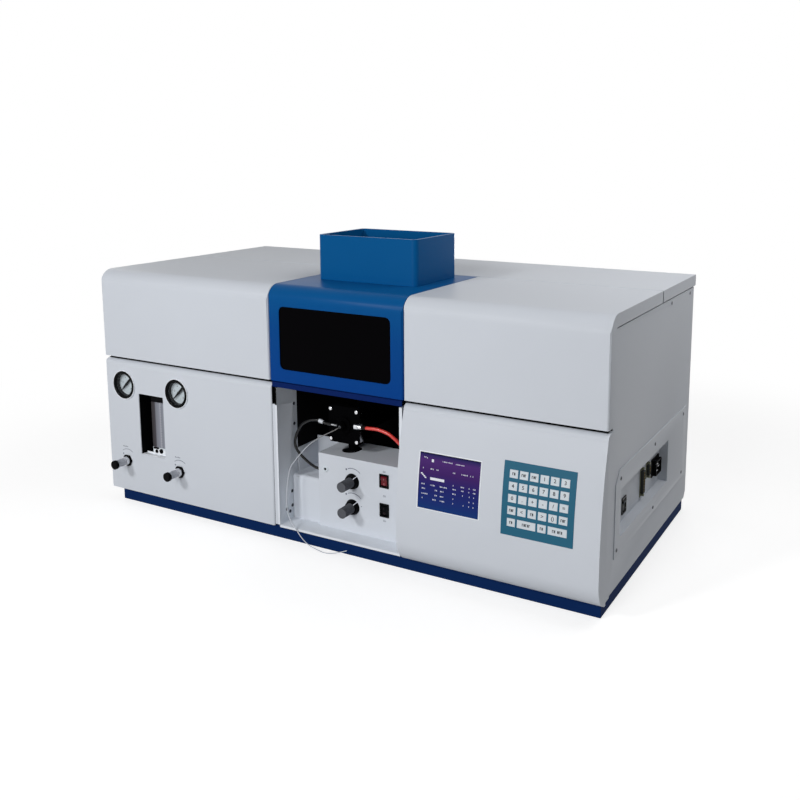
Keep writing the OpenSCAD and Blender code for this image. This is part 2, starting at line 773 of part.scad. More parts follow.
tray_x = bay_l + notch_w;
slot_w = 2 * column_r + 8;
hole_r = 16;
low_y = shelf_y + 6;

module burner_shelf() place() color(white) {
    deep = rail_y1 + 2.5 + sheet;
    x0 = bay_l + 0.5;
    x1 = bay_r - 0.5;
    floor_z = base_h + 2;
    difference() {
        union() {
            // Front: full height at the right, low and set back at the left
            along_y(shelf_y, shelf_y + sheet) translate([tray_x, floor_z]) square([x1 - tray_x, shelf_z - floor_z]);
            along_y(low_y, low_y + sheet)
                translate([x0, floor_z]) square([tray_x + sheet - x0, notch_z - 6 - floor_z]);
            block([tray_x, shelf_y, floor_z], [tray_x + sheet, low_y + sheet, notch_z]);
            // Rolled ledge of the low end and the floor of the well behind it
            intersection() {
                rod_x(x0, tray_x + sheet, low_y + 6, notch_z - 6, 6);
                block([x0, low_y, notch_z - 6], [tray_x + sheet, low_y + 6, notch_z]);
            }
            block([x0, low_y + 5.9, notch_z - sheet], [tray_x + sheet, deep, notch_z]);
            // Sides of the well
            block([x0, liner_y, notch_z - sheet], [x0 + sheet, deep, shelf_z - 7]);
            block([tray_x, shelf_y, notch_z - sheet], [tray_x + sheet, deep, shelf_z]);
            // Shelf and back leg
            block([tray_x, shelf_y, shelf_z - sheet], [x1, deep, shelf_z]);
            block([x0, deep - sheet, floor_z], [x1, deep, shelf_z]);
        }
        intersection() {
            rod_x(x0 - 1, tray_x, low_y + 6, notch_z - 6, 6 - sheet);
            block([x0 - 1, low_y, notch_z - 8], [tray_x, low_y + 6, notch_z]);
        }
        // Round hole for the column, long enough for the carriage's travel
        for (y = [column_y - cross_travel, column_y]) rod_z(column_cx, y, shelf_z - 5, shelf_z + 1, hole_r);
        block([column_cx - hole_r, column_y - cross_travel, shelf_z - 5],
              [column_cx + hole_r, column_y, shelf_z + 1]);
        // Holes for the shafts and switches
        for (z = [height_z, depth_z]) rod_y(knob_x, shelf_y - 1, shelf_y + 5, z, 8 + slack);
        for (z = rocker_zs) translate([rocker_x, shelf_y, z])
            cube(case_hole(rocker_w, rocker_h), center = true);
        travel_slot(tray_x - 1, tray_x + 3, hose_in_y, hose_in_z, oxidant_d / 2);
    }
}

// Opening that lets a hose follow the burner's two travels
module travel_slot(x0, x1, y, z, r)
    translate([0, y - cross_travel / 2, z + lift_travel / 2])
        along_x(x0, x1) round_rect(cross_travel + 2 * r + 5, lift_travel + 2 * r + 5, r + 3);

rocker_x = hood_r - 59;
rocker_zs = [shelf_z - 28.5, shelf_z - 80.5];

// Switch cases: how far the case and its opening are set in from the edge of the frame
case_in = 1.6;
bore_in = 2.8;

function case_hole(w, h) = [w - 2 * case_in + 2 * slack, 20, h - 2 * case_in + 2 * slack];

// Square rocker switch: the case and the rocker that tilts in it, facing -Y from y = 0
module rocker_case(w, h) {
    difference() {
        union() {
            block([-w / 2, -1.8, -h / 2], [w / 2, 0, h / 2]);
            block([-w / 2 + case_in, -0.1, -h / 2 + case_in], [w / 2 - case_in, 16, h / 2 - case_in]);
        }
        block([-w / 2 + bore_in, -3, -h / 2 + bore_in], [w / 2 - bore_in, 12, h / 2 - bore_in]);
        rod_x(-w / 2 + case_in + 0.3, w / 2 - case_in - 0.3, 4, 0, 1.2 + play);
    }
}

module rocker(w, h, tilt) {
    r = h / 2 - bore_in - slack;
    x = w / 2 - bore_in - slack;
    translate([0, 4, 0]) rotate([tilt, 0, 0]) {
        intersection() {
            rod_x(-x, x, 0, 0, r);
            along_x(-x, x) polygon([[3, -r], [-6.4, -r], [-4.6, 0], [-6.4, r], [3, r]]);
        }
        rod_x(-x - 0.9, x + 0.9, 0, 0, 1.2);
    }
}

rocker_w = 18;
rocker_h = 24;
mains_y = 137;
mains_z = 131.5;
mains_w = 21;
mains_h = 27;
rocker_rest = 9;

module to_side(x, y, z) translate([x, y, z]) rotate([0, 0, 90]) children();

module switch_cases() place() color(black) {
    for (z = rocker_zs) translate([rocker_x, shelf_y, z]) rocker_case(rocker_w, rocker_h);
    to_side(floor_x, mains_y, mains_z) rocker_case(mains_w, mains_h);
}

module ignition_rocker() place() color([0.7, 0.08, 0.1])
    translate([rocker_x, shelf_y, rocker_zs[0]]) rocker(rocker_w, rocker_h, rocker_rest);
module gas_rocker() place() color(black)
    translate([rocker_x, shelf_y, rocker_zs[1]]) rocker(rocker_w, rocker_h, rocker_rest);
module mains_rocker() place() color(black)
    to_side(floor_x, mains_y, mains_z) rocker(mains_w, mains_h, rocker_rest);

// Burner knob: black skirt, grey grip and the shaft behind it
module burner_knob(z, y1) {
    flutes = 24;
    translate([knob_x, shelf_y - 7.3, z]) rotate([-90, 0, 0]) cylinder(h = 7.3 - slack, r1 = 11.6, r2 = 14);
    difference() {
        rod_y(knob_x, 0, shelf_y - 7.2, z, 9);
        for (i = [0:flutes - 1]) {
            a = i * 360 / flutes;
            rod_y(knob_x + 9.4 * cos(a), -1, shelf_y - 10, z + 9.4 * sin(a), 0.9);
        }
    }
    rod_y(knob_x, shelf_y - 1, y1, z, 4);
}

// Burner carriage: base with rods, cross slide, lifting column

rail_z = base_h + 22;
rail_r = 5;
rail_x = [column_cx - 34, column_cx + 2];
rail_y0 = 48;
rail_y1 = 112;
tooth = tau * pinion_r / pinion_teeth;
mesh_y = [66, 74];

module depth_knob() place() color(grey) burner_knob(depth_z, 100);

module height_knob() place() color(grey) {
    burner_knob(height_z, 92);
    translate([knob_x, 0, height_z]) along_y(mesh_y[0], mesh_y[1]) {
        circle(pinion_r - 0.45 * tooth);
        for (i = [0:pinion_teeth - 1]) rotate(i * 360 / pinion_teeth)
            polygon([[pinion_r - 0.5 * tooth, -0.3 * tooth], [pinion_r + 0.22 * tooth, -0.11 * tooth],
                     [pinion_r + 0.22 * tooth, 0.11 * tooth], [pinion_r - 0.5 * tooth, 0.3 * tooth]]);
    }
}

module slide_base() place() color(steel) {
    x0 = column_cx - 48;
    x1 = column_cx + 48;
    z0 = base_h + 2;
    block([x0, rail_y0 - 6, z0], [x1, rail_y1 + 2.5, z0 + 6]);
    difference() {
        union() {
            block([x0, rail_y0 - 6, z0], [x1, rail_y0, rail_z + 12]);
            block([x0, rail_y1 - 3, z0], [x1, rail_y1 + 2.5, rail_z + 12]);
            block([knob_x - 9, rail_y0 - 6, z0], [knob_x + 9, rail_y0, depth_z + 9]);
        }
        rod_y(knob_x, 30, 60, depth_z, 4 + play);
    }
    for (x = rail_x) rod_y(x, rail_y0 - 1, rail_y1, rail_z, rail_r);
}

module cross_slide() place() color(grey) {
    y0 = 60;
    y1 = 100;
    x0 = column_cx - 44;
    x1 = knob_x + 12;
    difference() {
        union() {
            block([x0, y0, rail_z - 12], [x1, y1, depth_z + 9]);
            block([column_cx - 15, y0, depth_z + 8], [column_cx + 15, y1, shelf_z - 3]);
            block([column_cx - 15, y0 + 18, height_z - 9], [knob_x + 12, y1 - 8, height_z + 9]);
            rod_z(column_cx, column_y, shelf_z - 4, shelf_z - 1, slot_w / 2 - 1);
        }
        for (x = rail_x) rod_y(x, y0 - 1, y1 + 1, rail_z, rail_r + play);
        rod_y(knob_x, y0 - 1, y1 + 1, depth_z, 4 + play);
        rod_y(knob_x, y0 + 1, y1 + 1, height_z, 4 + play);
        rod_z(column_cx, column_y, base_h + 30, shelf_z + 7, column_r + play);
        block([column_cx, mesh_y[0] - 0.6, base_h + 34], [column_cx + 19, mesh_y[1] + 0.6, shelf_z - 10]);
        rod_y(knob_x, mesh_y[0] - 0.6, mesh_y[1] + 0.6, height_z, pinion_r + 3);
    }
}

module lift_column() place() color(chrome) {
    z0 = base_h + 34;
    z1 = chamber_z - chamber_r + 2;
    // Rack on the side of the column, in mesh with the pinion
    pitch_x = knob_x - pinion_r;
    low_teeth = ceil(lift_travel / tooth + 1);
    zl = height_z - (low_teeth + 0.9) * tooth;
    zh = height_z + 1.9 * tooth;
    block([column_cx, mesh_y[0] + 0.3, zl], [pitch_x - 0.4 * tooth, mesh_y[1] - 0.3, zh]);
    translate([0, 0, height_z]) along_y(mesh_y[0] + 0.3, mesh_y[1] - 0.3)
        for (i = [-low_teeth - 1:1]) translate([pitch_x, (i + 0.5) * tooth])
            polygon([[-0.5 * tooth, -0.3 * tooth], [0.22 * tooth, -0.11 * tooth],
                     [0.22 * tooth, 0.11 * tooth], [-0.5 * tooth, 0.3 * tooth]]);
    // Column and the saddle under the mixing chamber
    difference() {
        union() {
            rod_z(column_cx, column_y, z0, z1, column_r);
            block([column_cx - 24, column_y - 12, z1 - 8], [column_cx + 24, column_y + 24, chamber_z - 14]);
        }
        rod_y(column_cx, 40, 140, chamber_z, chamber_r + 0.05);
    }
}

module mixing_chamber() place() color(black) {
    y1 = burner_y + 24;
    difference() {
        union() {
            rod_y(column_cx, cap_y + cap_t, y1, chamber_z, chamber_r);
            rod_y(column_cx, cap_y + cap_t, cap_y + cap_t + 5, chamber_z, chamber_r + 4);
            rod_z(column_cx, burner_y, chamber_z, chamber_z + 46, 15);
            rod_z(column_cx, burner_y - 30, chamber_z - chamber_r - 14, chamber_z, 6);
        }
        rod_y(column_cx, cap_y + cap_t - 1, y1 - 4, chamber_z, chamber_r - 4);
        rod_z(column_cx, burner_y, chamber_z, chamber_z + 47, 11 + play);
        rod_z(column_cx, burner_y - 30, chamber_z - chamber_r - 15, chamber_z, 3.5);
    }
}

module end_cap() place() color(black) {
    difference() {
        union() {
            translate([column_cx, cap_y + cap_t, chamber_z]) rotate([90, 0, 0])
                linear_extrude(cap_t) round_rect(cap_w, cap_w, 6);
            rod_y(column_cx, cap_y - 4, cap_y + 1, chamber_z, 15);
            // Fuel inlet on the right, and the screws that hold the cap
            rod_x(column_cx + 28, column_cx + 40, cap_y - 4, chamber_z + 3, 4.5);
            rod_x(column_cx + 26, column_cx + 33, cap_y - 4, chamber_z + 3, 5.8);
            for (x = [-cap_bolt, cap_bolt], z = [-cap_bolt, cap_bolt])
                rod_y(column_cx + x, cap_y - 2.6, cap_y + 1, chamber_z + z, 3);
        }
        rod_y(column_cx, cap_y - 5, cap_y + cap_t + 1, chamber_z, 7 + play);
    }
}

neb_y = 38;
port_z = chamber_z + 4;

module nebulizer() place() color(chrome) {
    difference() {
        union() {
            rod_y(column_cx, cap_y - 4.5, cap_y + cap_t + 6, chamber_z, 7);
            rod_y(column_cx, cap_y - 10, cap_y - 4.2, chamber_z, 8);
            rod_y(column_cx, neb_y + 1, cap_y - 9, chamber_z, 6);
            rod_y(column_cx, neb_y, neb_y + 2, chamber_z, 2.5);
            rod_x(column_cx - 18, column_cx, cap_y - 7, chamber_z, 2.6);
            rod_x(column_cx - 22, column_cx - 10, cap_y - 7, chamber_z, 2);
        }
        rod_y(column_cx, neb_y - 1, cap_y + cap_t + 8, chamber_z, 0.8);
    }
}

// Burner head: a neck that turns in the chamber, a tapered body and its slot
module burner_head() place() color(steel) {
    top = beam_z - 19;
    low = chamber_z + 46 + slack;
    half = slot_l / 2 + 6;
    difference() {
        union() {
            rod_z(column_cx, burner_y, chamber_z + 20, low + 8, 11);
            rod_z(column_cx, burner_y, low, low + 5, 17);
            translate([0, burner_y, 0]) along_x(column_cx - half, column_cx + half)
                polygon([[-13, low + 5], [13, low + 5], [13, low + 16], [7, top], [-7, top], [-13, low + 16]]);
        }
        rod_z(column_cx, burner_y, chamber_z + 19, low + 14, 8);
        block([column_cx - slot_l / 2, burner_y - 6, low + 10], [column_cx + slot_l / 2, burner_y + 6, top - 9]);
        block([column_cx - slot_l / 2, burner_y - 0.3, top - 10], [column_cx + slot_l / 2, burner_y + 0.3, top + 1]);
    }
}

// Lamp compartment

disc_r = lamp_circle + lamp_r + 3;
base_disc_x = turret_x - 76;
grip_disc_x = turret_x;

module lamp_turret() place() color(black) {
    translate([0, burner_y, turret_z]) difference() {
        union() {
            rod_x(base_disc_x, base_disc_x + 6, 0, 0, disc_r);
            rod_x(grip_disc_x, grip_disc_x + 6, 0, 0, disc_r);
            rod_x(base_disc_x - 40, grip_disc_x + 8, 0, 0, 9);
        }
        for (i = [0:lamps - 1]) rotate([i * 360 / lamps, 0, 0]) {
            rod_x(grip_disc_x - 1, grip_disc_x + 7, 0, -lamp_circle, lamp_r + slack);
            rod_x(base_disc_x - 1, base_disc_x + 7, 0, -lamp_circle, 9);
        }
        for (i = [0:35]) rotate([i * 10, 0, 0])
            rod_x(grip_disc_x - 1, grip_disc_x + 7, 0, disc_r + 0.6, 1.6);
    }
}

module cathode_lamps() place() color(clear)
    translate([0, burner_y, turret_z]) for (i = [0:lamps - 1]) rotate([i * 360 / lamps, 0, 0])
        translate([0, 0, -lamp_circle]) {
            rod_x(base_disc_x + 6, base_disc_x + 34, 0, 0, 16);
            rod_x(base_disc_x + 33.9, grip_disc_x + 34, 0, 0, lamp_r);
            rod_x(grip_disc_x + 33.9, grip_disc_x + 48, 0, 0, lamp_r - 5);
            rod_x(base_disc_x - 6, base_disc_x + 7, 0, 0, 4);
        }

module turret_bracket() place() color(steel) {
    x0 = base_disc_x - 34;
    difference() {
        union() {
            block([x0, burner_y - 45, deck_z], [x0 + 24, burner_y + 45, deck_z + 8]);
            block([x0 + 2, burner_y - 18, deck_z + 7], [x0 + 14, burner_y + 18, turret_z]);
            rod_x(x0 + 2, x0 + 18, burner_y, turret_z, 18);
        }
        rod_x(x0 - 1, x0 + 30, burner_y, turret_z, 9 + play);
    }
}

module lens_tubes() place() color(black) {
    for (x = [left_wall - 22, right_wall - 4]) difference() {
        rod_x(x, x + 28, burner_y, beam_z, 16);
        rod_x(x - 1, x + 8, burner_y, beam_z, 13);
        rod_x(x + 11, x + 29, burner_y, beam_z, 13);
    }
}

// Optics compartment and electronics

mono_x = right_wall + 42;

module monochromator() place() color(grey) {
    x1 = half_w - 70;
    top = body_h - 60;
    difference() {
        union() {
            block([mono_x, 40, deck_z], [x1, 232, top]);
            block([mono_x - 8, 32, deck_z], [x1 + 8, 240, deck_z + 10]);
            block([mono_x - 4, 36, top - 12], [x1 + 4, 236, top - 4]);
            for (x = [mono_x + 30:50:x1 - 20]) block([x, 34, deck_z + 8], [x + 6, 40.1, top - 6]);
            rod_x(mono_x - 16, mono_x + 1, burner_y, beam_z, 15);
        }
        rod_x(mono_x - 17, mono_x + 12, burner_y, beam_z, 12);
        block([mono_x + 6, 46, top - 2], [x1 - 6, 226, top + 1]);
    }
}

module detector() place() color(black) {
    x1 = half_w - 70;
    block([x1 + 8.3, 90, deck_z], [x1 + 52, 150, deck_z + 6]);
    rod_z(x1 + 30, 120, deck_z + 5, body_h - 70, 19);
    rod_z(x1 + 30, 120, body_h - 71, body_h - 64, 15);
}

module power_supply() place() color(steel) {
    x0 = hood_r + 60;
    z0 = base_h;
    block([x0, 270, z0], [x0 + 190, 420, z0 + 4]);
    block([x0 + 10, 285, z0 + 3], [x0 + 110, 405, z0 + 70]);
    block([x0 + 124, 300, z0 + 3], [x0 + 180, 390, z0 + 78]);
    block([x0 + 116, 316, z0 + 16], [x0 + 188, 374, z0 + 66]);
}

module main_board() place() color([0.1, 0.35, 0.2]) {
    x0 = hood_r + 40;
    x1 = half_w - 40;
    for (x = [x0 + 6, x1 - 14]) block([x, 92, base_h], [x + 8, 100, 240]);
    block([x0, 90, 60], [x1, 92, 240]);
    for (i = [0:3]) block([x0 + 30 + i * 56, 84, 90], [x0 + 60 + i * 56, 90.1, 120]);
    for (i = [0:2]) block([x0 + 40 + i * 70, 82, 160], [x0 + 66 + i * 70, 90.1, 200]);
}

gas_inlet_z = base_h + 52;
gas_inlet_x = [gauge_x0 + 30, gauge_x0 + 80];

module gas_manifold() place() color([0.72, 0.6, 0.34]) {
    y1 = body_d - 2;
    x0 = gauge_x0 - 6;
    // Valve block on the plinth behind the panel
    block([x0, 70, base_h], [x0 + 160, 110, base_h + 40]);
    for (i = [0:2]) rod_z(x0 + 30 + i * 50, 90, base_h + 39, base_h + 82, 15);
    // Inlets through the back, each with a nut and a smooth spigot for the hose
    for (x = gas_inlet_x) {
        difference() {
            union() {
                rod_y(x, y1 - 24, y1 + 4, gas_inlet_z, 7.5);
                translate([x, y1 + 6, gas_inlet_z]) rotate([90, 0, 0]) cylinder(h = 6, r = 11, $fn = 6);
                rod_y(x, y1 + 5, y1 + 2 + inlet_reach, gas_inlet_z, spigot_r);
            }
            rod_y(x, y1 - 10, y1 + 3 + inlet_reach, gas_inlet_z, spigot_r - 1.5);
        }
    }
}

// Ports in the side pocket, standing on its floor

module port(y, z, h) {
    block([floor_x, y - 6.3, z - h / 2], [floor_x + 1, y + 6.3, z + h / 2]);
    difference() {
        block([floor_x + 0.9, y - 4.4, z - h / 2 + 7], [floor_x + 6.6, y + 4.4, z + h / 2 - 7]);
        block([floor_x + 4.5, y - 3.4, z - h / 2 + 8], [floor_x + 8, y + 3.4, z + h / 2 - 8]);
    }
    for (s = [-1, 1]) translate([floor_x + 0.9, y, z + s * (h / 2 - 3.4)]) rotate([0, 90, 0])
        cylinder(h = 5.5, r = 2.6, $fn = 6);
}

module side_connectors() place() color(chrome) {
    port(230, 140, 53);
    port(264, 150, 31);
    // Mains inlet with its fuse drawer
    difference() {
        union() {
            block([floor_x, 290, 126], [floor_x + 2, 334, 158]);
            block([floor_x + 1.9, 294, 129], [floor_x + 9, 326, 155]);
        }
        block([floor_x + 2.5, 296, 131], [floor_x + 12, 324, 153]);
    }
    for (z = [136, 142, 148]) block([floor_x + 2, 304 + (z == 142 ? 8 : 0), z - 0.8],
                                    [floor_x + 7, 310 + (z == 142 ? 8 : 0), z + 0.8]);
}

// Tubes. Each route is a list of hand-set points that a tube of flat sides follows,
// with X measured from the burner column

capillary_d = 1.6;
oxidant_d = 5;
fuel_d = 6;
hose_in_y = 62;
hose_in_z = 121;
fuel_out_y = 72;
fuel_out_z = 177;
fuel_end = right_wall + 8.5 - column_cx;

capillary_route = [
    [0, 38, 215], [0, 34, 214.5], [-4, 31, 211.5], [-13, 30, 206.5], [-24, 28, 200.5], [-36, 26, 193],
    [-49, 23, 183.5], [-60, 20, 173], [-70, 17, 161], [-79, 14, 149], [-86, 12, 139], [-90, 10, 126],
    [-92, 8, 109], [-93, 6, 91], [-92, 4, 71], [-87, 1, 54], [-78, -2, 41], [-66, -4, 30], [-54, -5, 18],
    [-40, -5, 8.5], [-23, -5, 3.5], [-6, -5, 1], [8, -5, 3], [24, -5, 8], [41, -5, 15]
];
oxidant_route = [
    [-22, 45, 215], [-30, 45, 215], [-39, 45, 216.5], [-48, 44.5, 218.5], [-57, 43.5, 218.5], [-68, 42, 216],
    [-78, 41.5, 210.5], [-86, 41, 203.5], [-93, 40, 191], [-97, 40, 180], [-98.5, 40, 170],
    [-96, 41.5, 159], [-91, 45, 149], [-84, 49, 140], [-76, 53.5, 131.5], [-68, 58, 125],
    [-59, 61, 122], [-50, 62, 121], [-41, 62, 121], [-34, 62, 121]
];
fuel_route = [
    [40, 48, 218], [48, 48, 218], [58, 48, 218.5], [70, 49, 218.5], [81, 50, 216.5], [92, 52, 212.5],
    [101, 54, 206], [109, 57, 198], [117, 60.5, 190], [126, 64.5, 183], [135, 68.5, 178.5],
    [144, 71, 177.2], [fuel_end - 8, 72, 177], [fuel_end, 72, 177]
];

function unit(v) = v / norm(v);
function heading(p, i) = unit(p[min(i + 1, len(p) - 1)] - p[max(i - 1, 0)]);
function across(t, u) = unit(u - (u * t) * t);
function frames(p, i, u) = i >= len(p) ? [] :
    let (n = across(heading(p, i), u)) concat([n], frames(p, i + 1, n));

// Tube of diameter d along the points p, with flat ends square to its first and last stretch
module tube(p, d, sides, up) translate([column_cx, 0, 0]) {
    f = frames(p, 0, up);
    rings = [for (i = [0:len(p) - 1])
        let (t = i == 0 ? unit(p[1] - p[0]) : i == len(p) - 1 ? unit(p[i] - p[i - 1]) : heading(p, i),
             n = across(t, f[i]), b = cross(t, n))
        for (k = [0:sides - 1]) p[i] + d / 2 * (cos(k * 360 / sides) * n + sin(k * 360 / sides) * b)];
    last = len(p) - 1;
    polyhedron(rings, concat(
        [[for (k = [0:sides - 1]) k]],
        [for (i = [0:last - 1], k = [0:sides - 1])
            let (a = i * sides + k, b = i * sides + (k + 1) % sides) [a, a + sides, b + sides]],
        [for (i = [0:last - 1], k = [0:sides - 1])
            let (a = i * sides + k, b = i * sides + (k + 1) % sides) [a, b + sides, b]],
        [[for (k = [sides - 1:-1:0]) last * sides + k]]
    ));
}

module capillary_tube() place() color("white") tube(capillary_route, capillary_d, 8, [1, 0, 0]);
module oxidant_hose() place() color(grey) tube(oxidant_route, oxidant_d, 8, [0, 0, 1]);
module fuel_hose() place() color([0.75, 0.12, 0.12]) tube(fuel_route, fuel_d, 10, [0, 0, 1]);

base_plinth();
feet();
left_bulkhead();
right_bulkhead();
lamp_deck();
optics_deck();
rear_panel();
rear_top_cover();
left_side_panel();
right_side_panel();
connector_plate();
gas_panel();
control_panel();
lamp_cover();
right_cover();
flame_hood();
hood_window();
chimney();
bay_frame();
chamber_liner();
burner_shelf();
display();
keypad();
gauge_cases();
gauge_dials();
gauge_lenses();
air_needle();
fuel_needle();
flowmeter_housing();
flowmeter_tube();
flow_float();
valve_bodies();
air_valve_knob();
fuel_valve_knob();
height_knob();
depth_knob();
switch_cases();
ignition_rocker();
gas_rocker();
mains_rocker();
side_connectors();
slide_base();
cross_slide();
lift_column();
mixing_chamber();
end_cap();
nebulizer();
burner_head();
lamp_turret();
cathode_lamps();
turret_bracket();
lens_tubes();
monochromator();
detector();
power_supply();
main_board();
gas_manifold();
capillary_tube();
oxidant_hose();
fuel_hose();
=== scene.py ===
"""Looks of the flame spectrophotometer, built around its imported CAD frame."""

import json
from math import asin, cos, hypot, pi, radians, sin, sqrt

import bmesh
import bpy
from mathutils import Matrix, Vector


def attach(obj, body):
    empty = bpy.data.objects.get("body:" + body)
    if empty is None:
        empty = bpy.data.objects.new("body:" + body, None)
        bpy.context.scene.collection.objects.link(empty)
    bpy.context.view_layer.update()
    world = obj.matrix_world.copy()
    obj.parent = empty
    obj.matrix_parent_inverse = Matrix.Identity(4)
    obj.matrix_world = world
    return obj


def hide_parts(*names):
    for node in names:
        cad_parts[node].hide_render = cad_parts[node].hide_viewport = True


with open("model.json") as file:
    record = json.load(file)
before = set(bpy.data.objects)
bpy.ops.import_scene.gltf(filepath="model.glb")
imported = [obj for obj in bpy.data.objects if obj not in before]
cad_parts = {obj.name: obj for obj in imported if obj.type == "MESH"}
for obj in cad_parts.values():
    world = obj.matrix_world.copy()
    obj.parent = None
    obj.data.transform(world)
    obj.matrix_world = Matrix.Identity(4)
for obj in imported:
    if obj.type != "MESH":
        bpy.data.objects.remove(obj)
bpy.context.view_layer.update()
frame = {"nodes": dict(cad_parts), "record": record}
nodes = frame["nodes"]

FRONT = -238.0      # the casing's front plane in the row frame
CABINET = "cabinet"
LIFT = "burner_lift"
MACHINE = Matrix.Translation((0, FRONT / 1000, 0))


def at(x, y, z):
    """A point of the machine, in millimetres from its front plane, in the row frame."""
    return Vector((x, y + FRONT, z)) / 1000


def linear(rgb):
    """A colour given as 0 to 255 screen values, as the renderer wants it."""
    shares = [v / 255 for v in rgb]
    return [v / 12.92 if v <= 0.04045 else ((v + 0.055) / 1.055) ** 2.4 for v in shares] + [1.0]


# Camera, at the photograph's place

PICTURE_PX, SENSOR_MM = 800, 36
CAMERA_AT = at(903.06, -1214.05, 692.59)
AZIMUTH, ELEVATION, ROLL = radians(28.3762), radians(9.0678), radians(0.095)
FOCAL_PX, CENTRE_PX = 913.73, (446.95, 293.45)


def add_camera():
    data = bpy.data.cameras.new("camera")
    data.sensor_width = SENSOR_MM
    data.lens = FOCAL_PX / PICTURE_PX * SENSOR_MM
    data.shift_x = (PICTURE_PX / 2 - CENTRE_PX[0]) / PICTURE_PX
    data.shift_y = (CENTRE_PX[1] - PICTURE_PX / 2) / PICTURE_PX
    data.clip_end = 50
    camera = bpy.data.objects.new("camera", data)
    bpy.context.scene.collection.objects.link(camera)
    back = Vector((sin(AZIMUTH) * cos(ELEVATION), -cos(AZIMUTH) * cos(ELEVATION), sin(ELEVATION)))
    right = (-back).cross(Vector((0, 0, 1))).normalized()
    up = right.cross(-back)
    rolled = cos(ROLL) * right + sin(ROLL) * up
    rolled_up = -sin(ROLL) * right + cos(ROLL) * up
    turn = Matrix((rolled, rolled_up, back)).transposed().to_4x4()
    camera.matrix_world = Matrix.Translation(CAMERA_AT) @ turn
    bpy.context.scene.camera = camera


add_camera()
bpy.context.scene.view_settings.view_transform = "Standard"


# Finishes

def finish(name, colour, roughness, metallic=0.0, tint=None, mottle=40.0, grain=0.0, grain_scale=900.0,
           rough_spread=0.05, coat=0.0, alpha=1.0, transmission=0.0, ior=1.5, specular=0.5, depth=0.0002):
    """A surface whose colour wanders a little between two tones, with a fine grain."""
    material = bpy.data.materials.new(name)
    material.use_nodes = True
    tree = material.node_tree
    shader = tree.nodes["Principled BSDF"]
    place = tree.nodes.new("ShaderNodeTexCoord")
    cloud = tree.nodes.new("ShaderNodeTexNoise")
    cloud.inputs["Scale"].default_value = mottle
    cloud.inputs["Detail"].default_value = 3
    tree.links.new(place.outputs["Object"], cloud.inputs["Vector"])
    ramp = tree.nodes.new("ShaderNodeMix")
    ramp.data_type = "RGBA"
    ramp.inputs["A"].default_value = linear(colour)
    ramp.inputs["B"].default_value = linear(tint or [min(255, c + 4) for c in colour])
    tree.links.new(cloud.outputs["Fac"], ramp.inputs["Factor"])
    tree.links.new(ramp.outputs["Result"], shader.inputs["Base Color"])
    spread = tree.nodes.new("ShaderNodeMapRange")
    spread.inputs["To Min"].default_value = max(0.02, roughness - rough_spread)
    spread.inputs["To Max"].default_value = min(1.0, roughness + rough_spread)
    tree.links.new(cloud.outputs["Fac"], spread.inputs["Value"])
    tree.links.new(spread.outputs["Result"], shader.inputs["Roughness"])
    if grain:
        speck = tree.nodes.new("ShaderNodeTexNoise")
        speck.inputs["Scale"].default_value = grain_scale
        speck.inputs["Detail"].default_value = 2
        tree.links.new(place.outputs["Object"], speck.inputs["Vector"])
        bump = tree.nodes.new("ShaderNodeBump")
        bump.inputs["Strength"].default_value = grain
        bump.inputs["Distance"].default_value = depth
        tree.links.new(speck.outputs["Fac"], bump.inputs["Height"])
        tree.links.new(bump.outputs["Normal"], shader.inputs["Normal"])
    shader.inputs["Metallic"].default_value = metallic
    shader.inputs["Coat Weight"].default_value = coat
    shader.inputs["Alpha"].default_value = alpha
    shader.inputs["Transmission Weight"].default_value = transmission
    shader.inputs["IOR"].default_value = ior
    shader.inputs["Specular IOR Level"].default_value = specular
    return material


def shaded_finish(name, stops, low, high, roughness, specular, axis="Z", **more):
    """A finish whose colour goes through several tones along one axis, between two places in metres."""
    material = finish(name, stops[0][1], roughness, specular=specular, **more)
    tree = material.node_tree
    place = tree.nodes.new("ShaderNodeTexCoord")
    split = tree.nodes.new("ShaderNodeSeparateXYZ")
    tree.links.new(place.outputs["Object"], split.inputs["Vector"])
    span = tree.nodes.new("ShaderNodeMapRange")
    span.inputs["From Min"].default_value = low
    span.inputs["From Max"].default_value = high
    tree.links.new(split.outputs[axis], span.inputs["Value"])
    bands = tree.nodes.new("ShaderNodeValToRGB")
    while len(bands.color_ramp.elements) < len(stops):
        bands.color_ramp.elements.new(0.5)
    for element, (position, colour) in zip(bands.color_ramp.elements, stops):
        element.position = position
        element.color = linear(colour)
    tree.links.new(span.outputs["Result"], bands.inputs["Fac"])
    mottled = tree.nodes.new("ShaderNodeMix")
    mottled.data_type = "RGBA"
    mottled.blend_type = "MULTIPLY"
    mottled.inputs["Factor"].default_value = 0.08
    tree.links.new(bands.outputs["Color"], mottled.inputs["A"])
    tree.links.new(tree.nodes["Noise Texture"].outputs["Fac"], mottled.inputs["B"])
    tree.links.new(mottled.outputs["Result"], tree.nodes["Principled BSDF"].inputs["Base Color"])
    return material


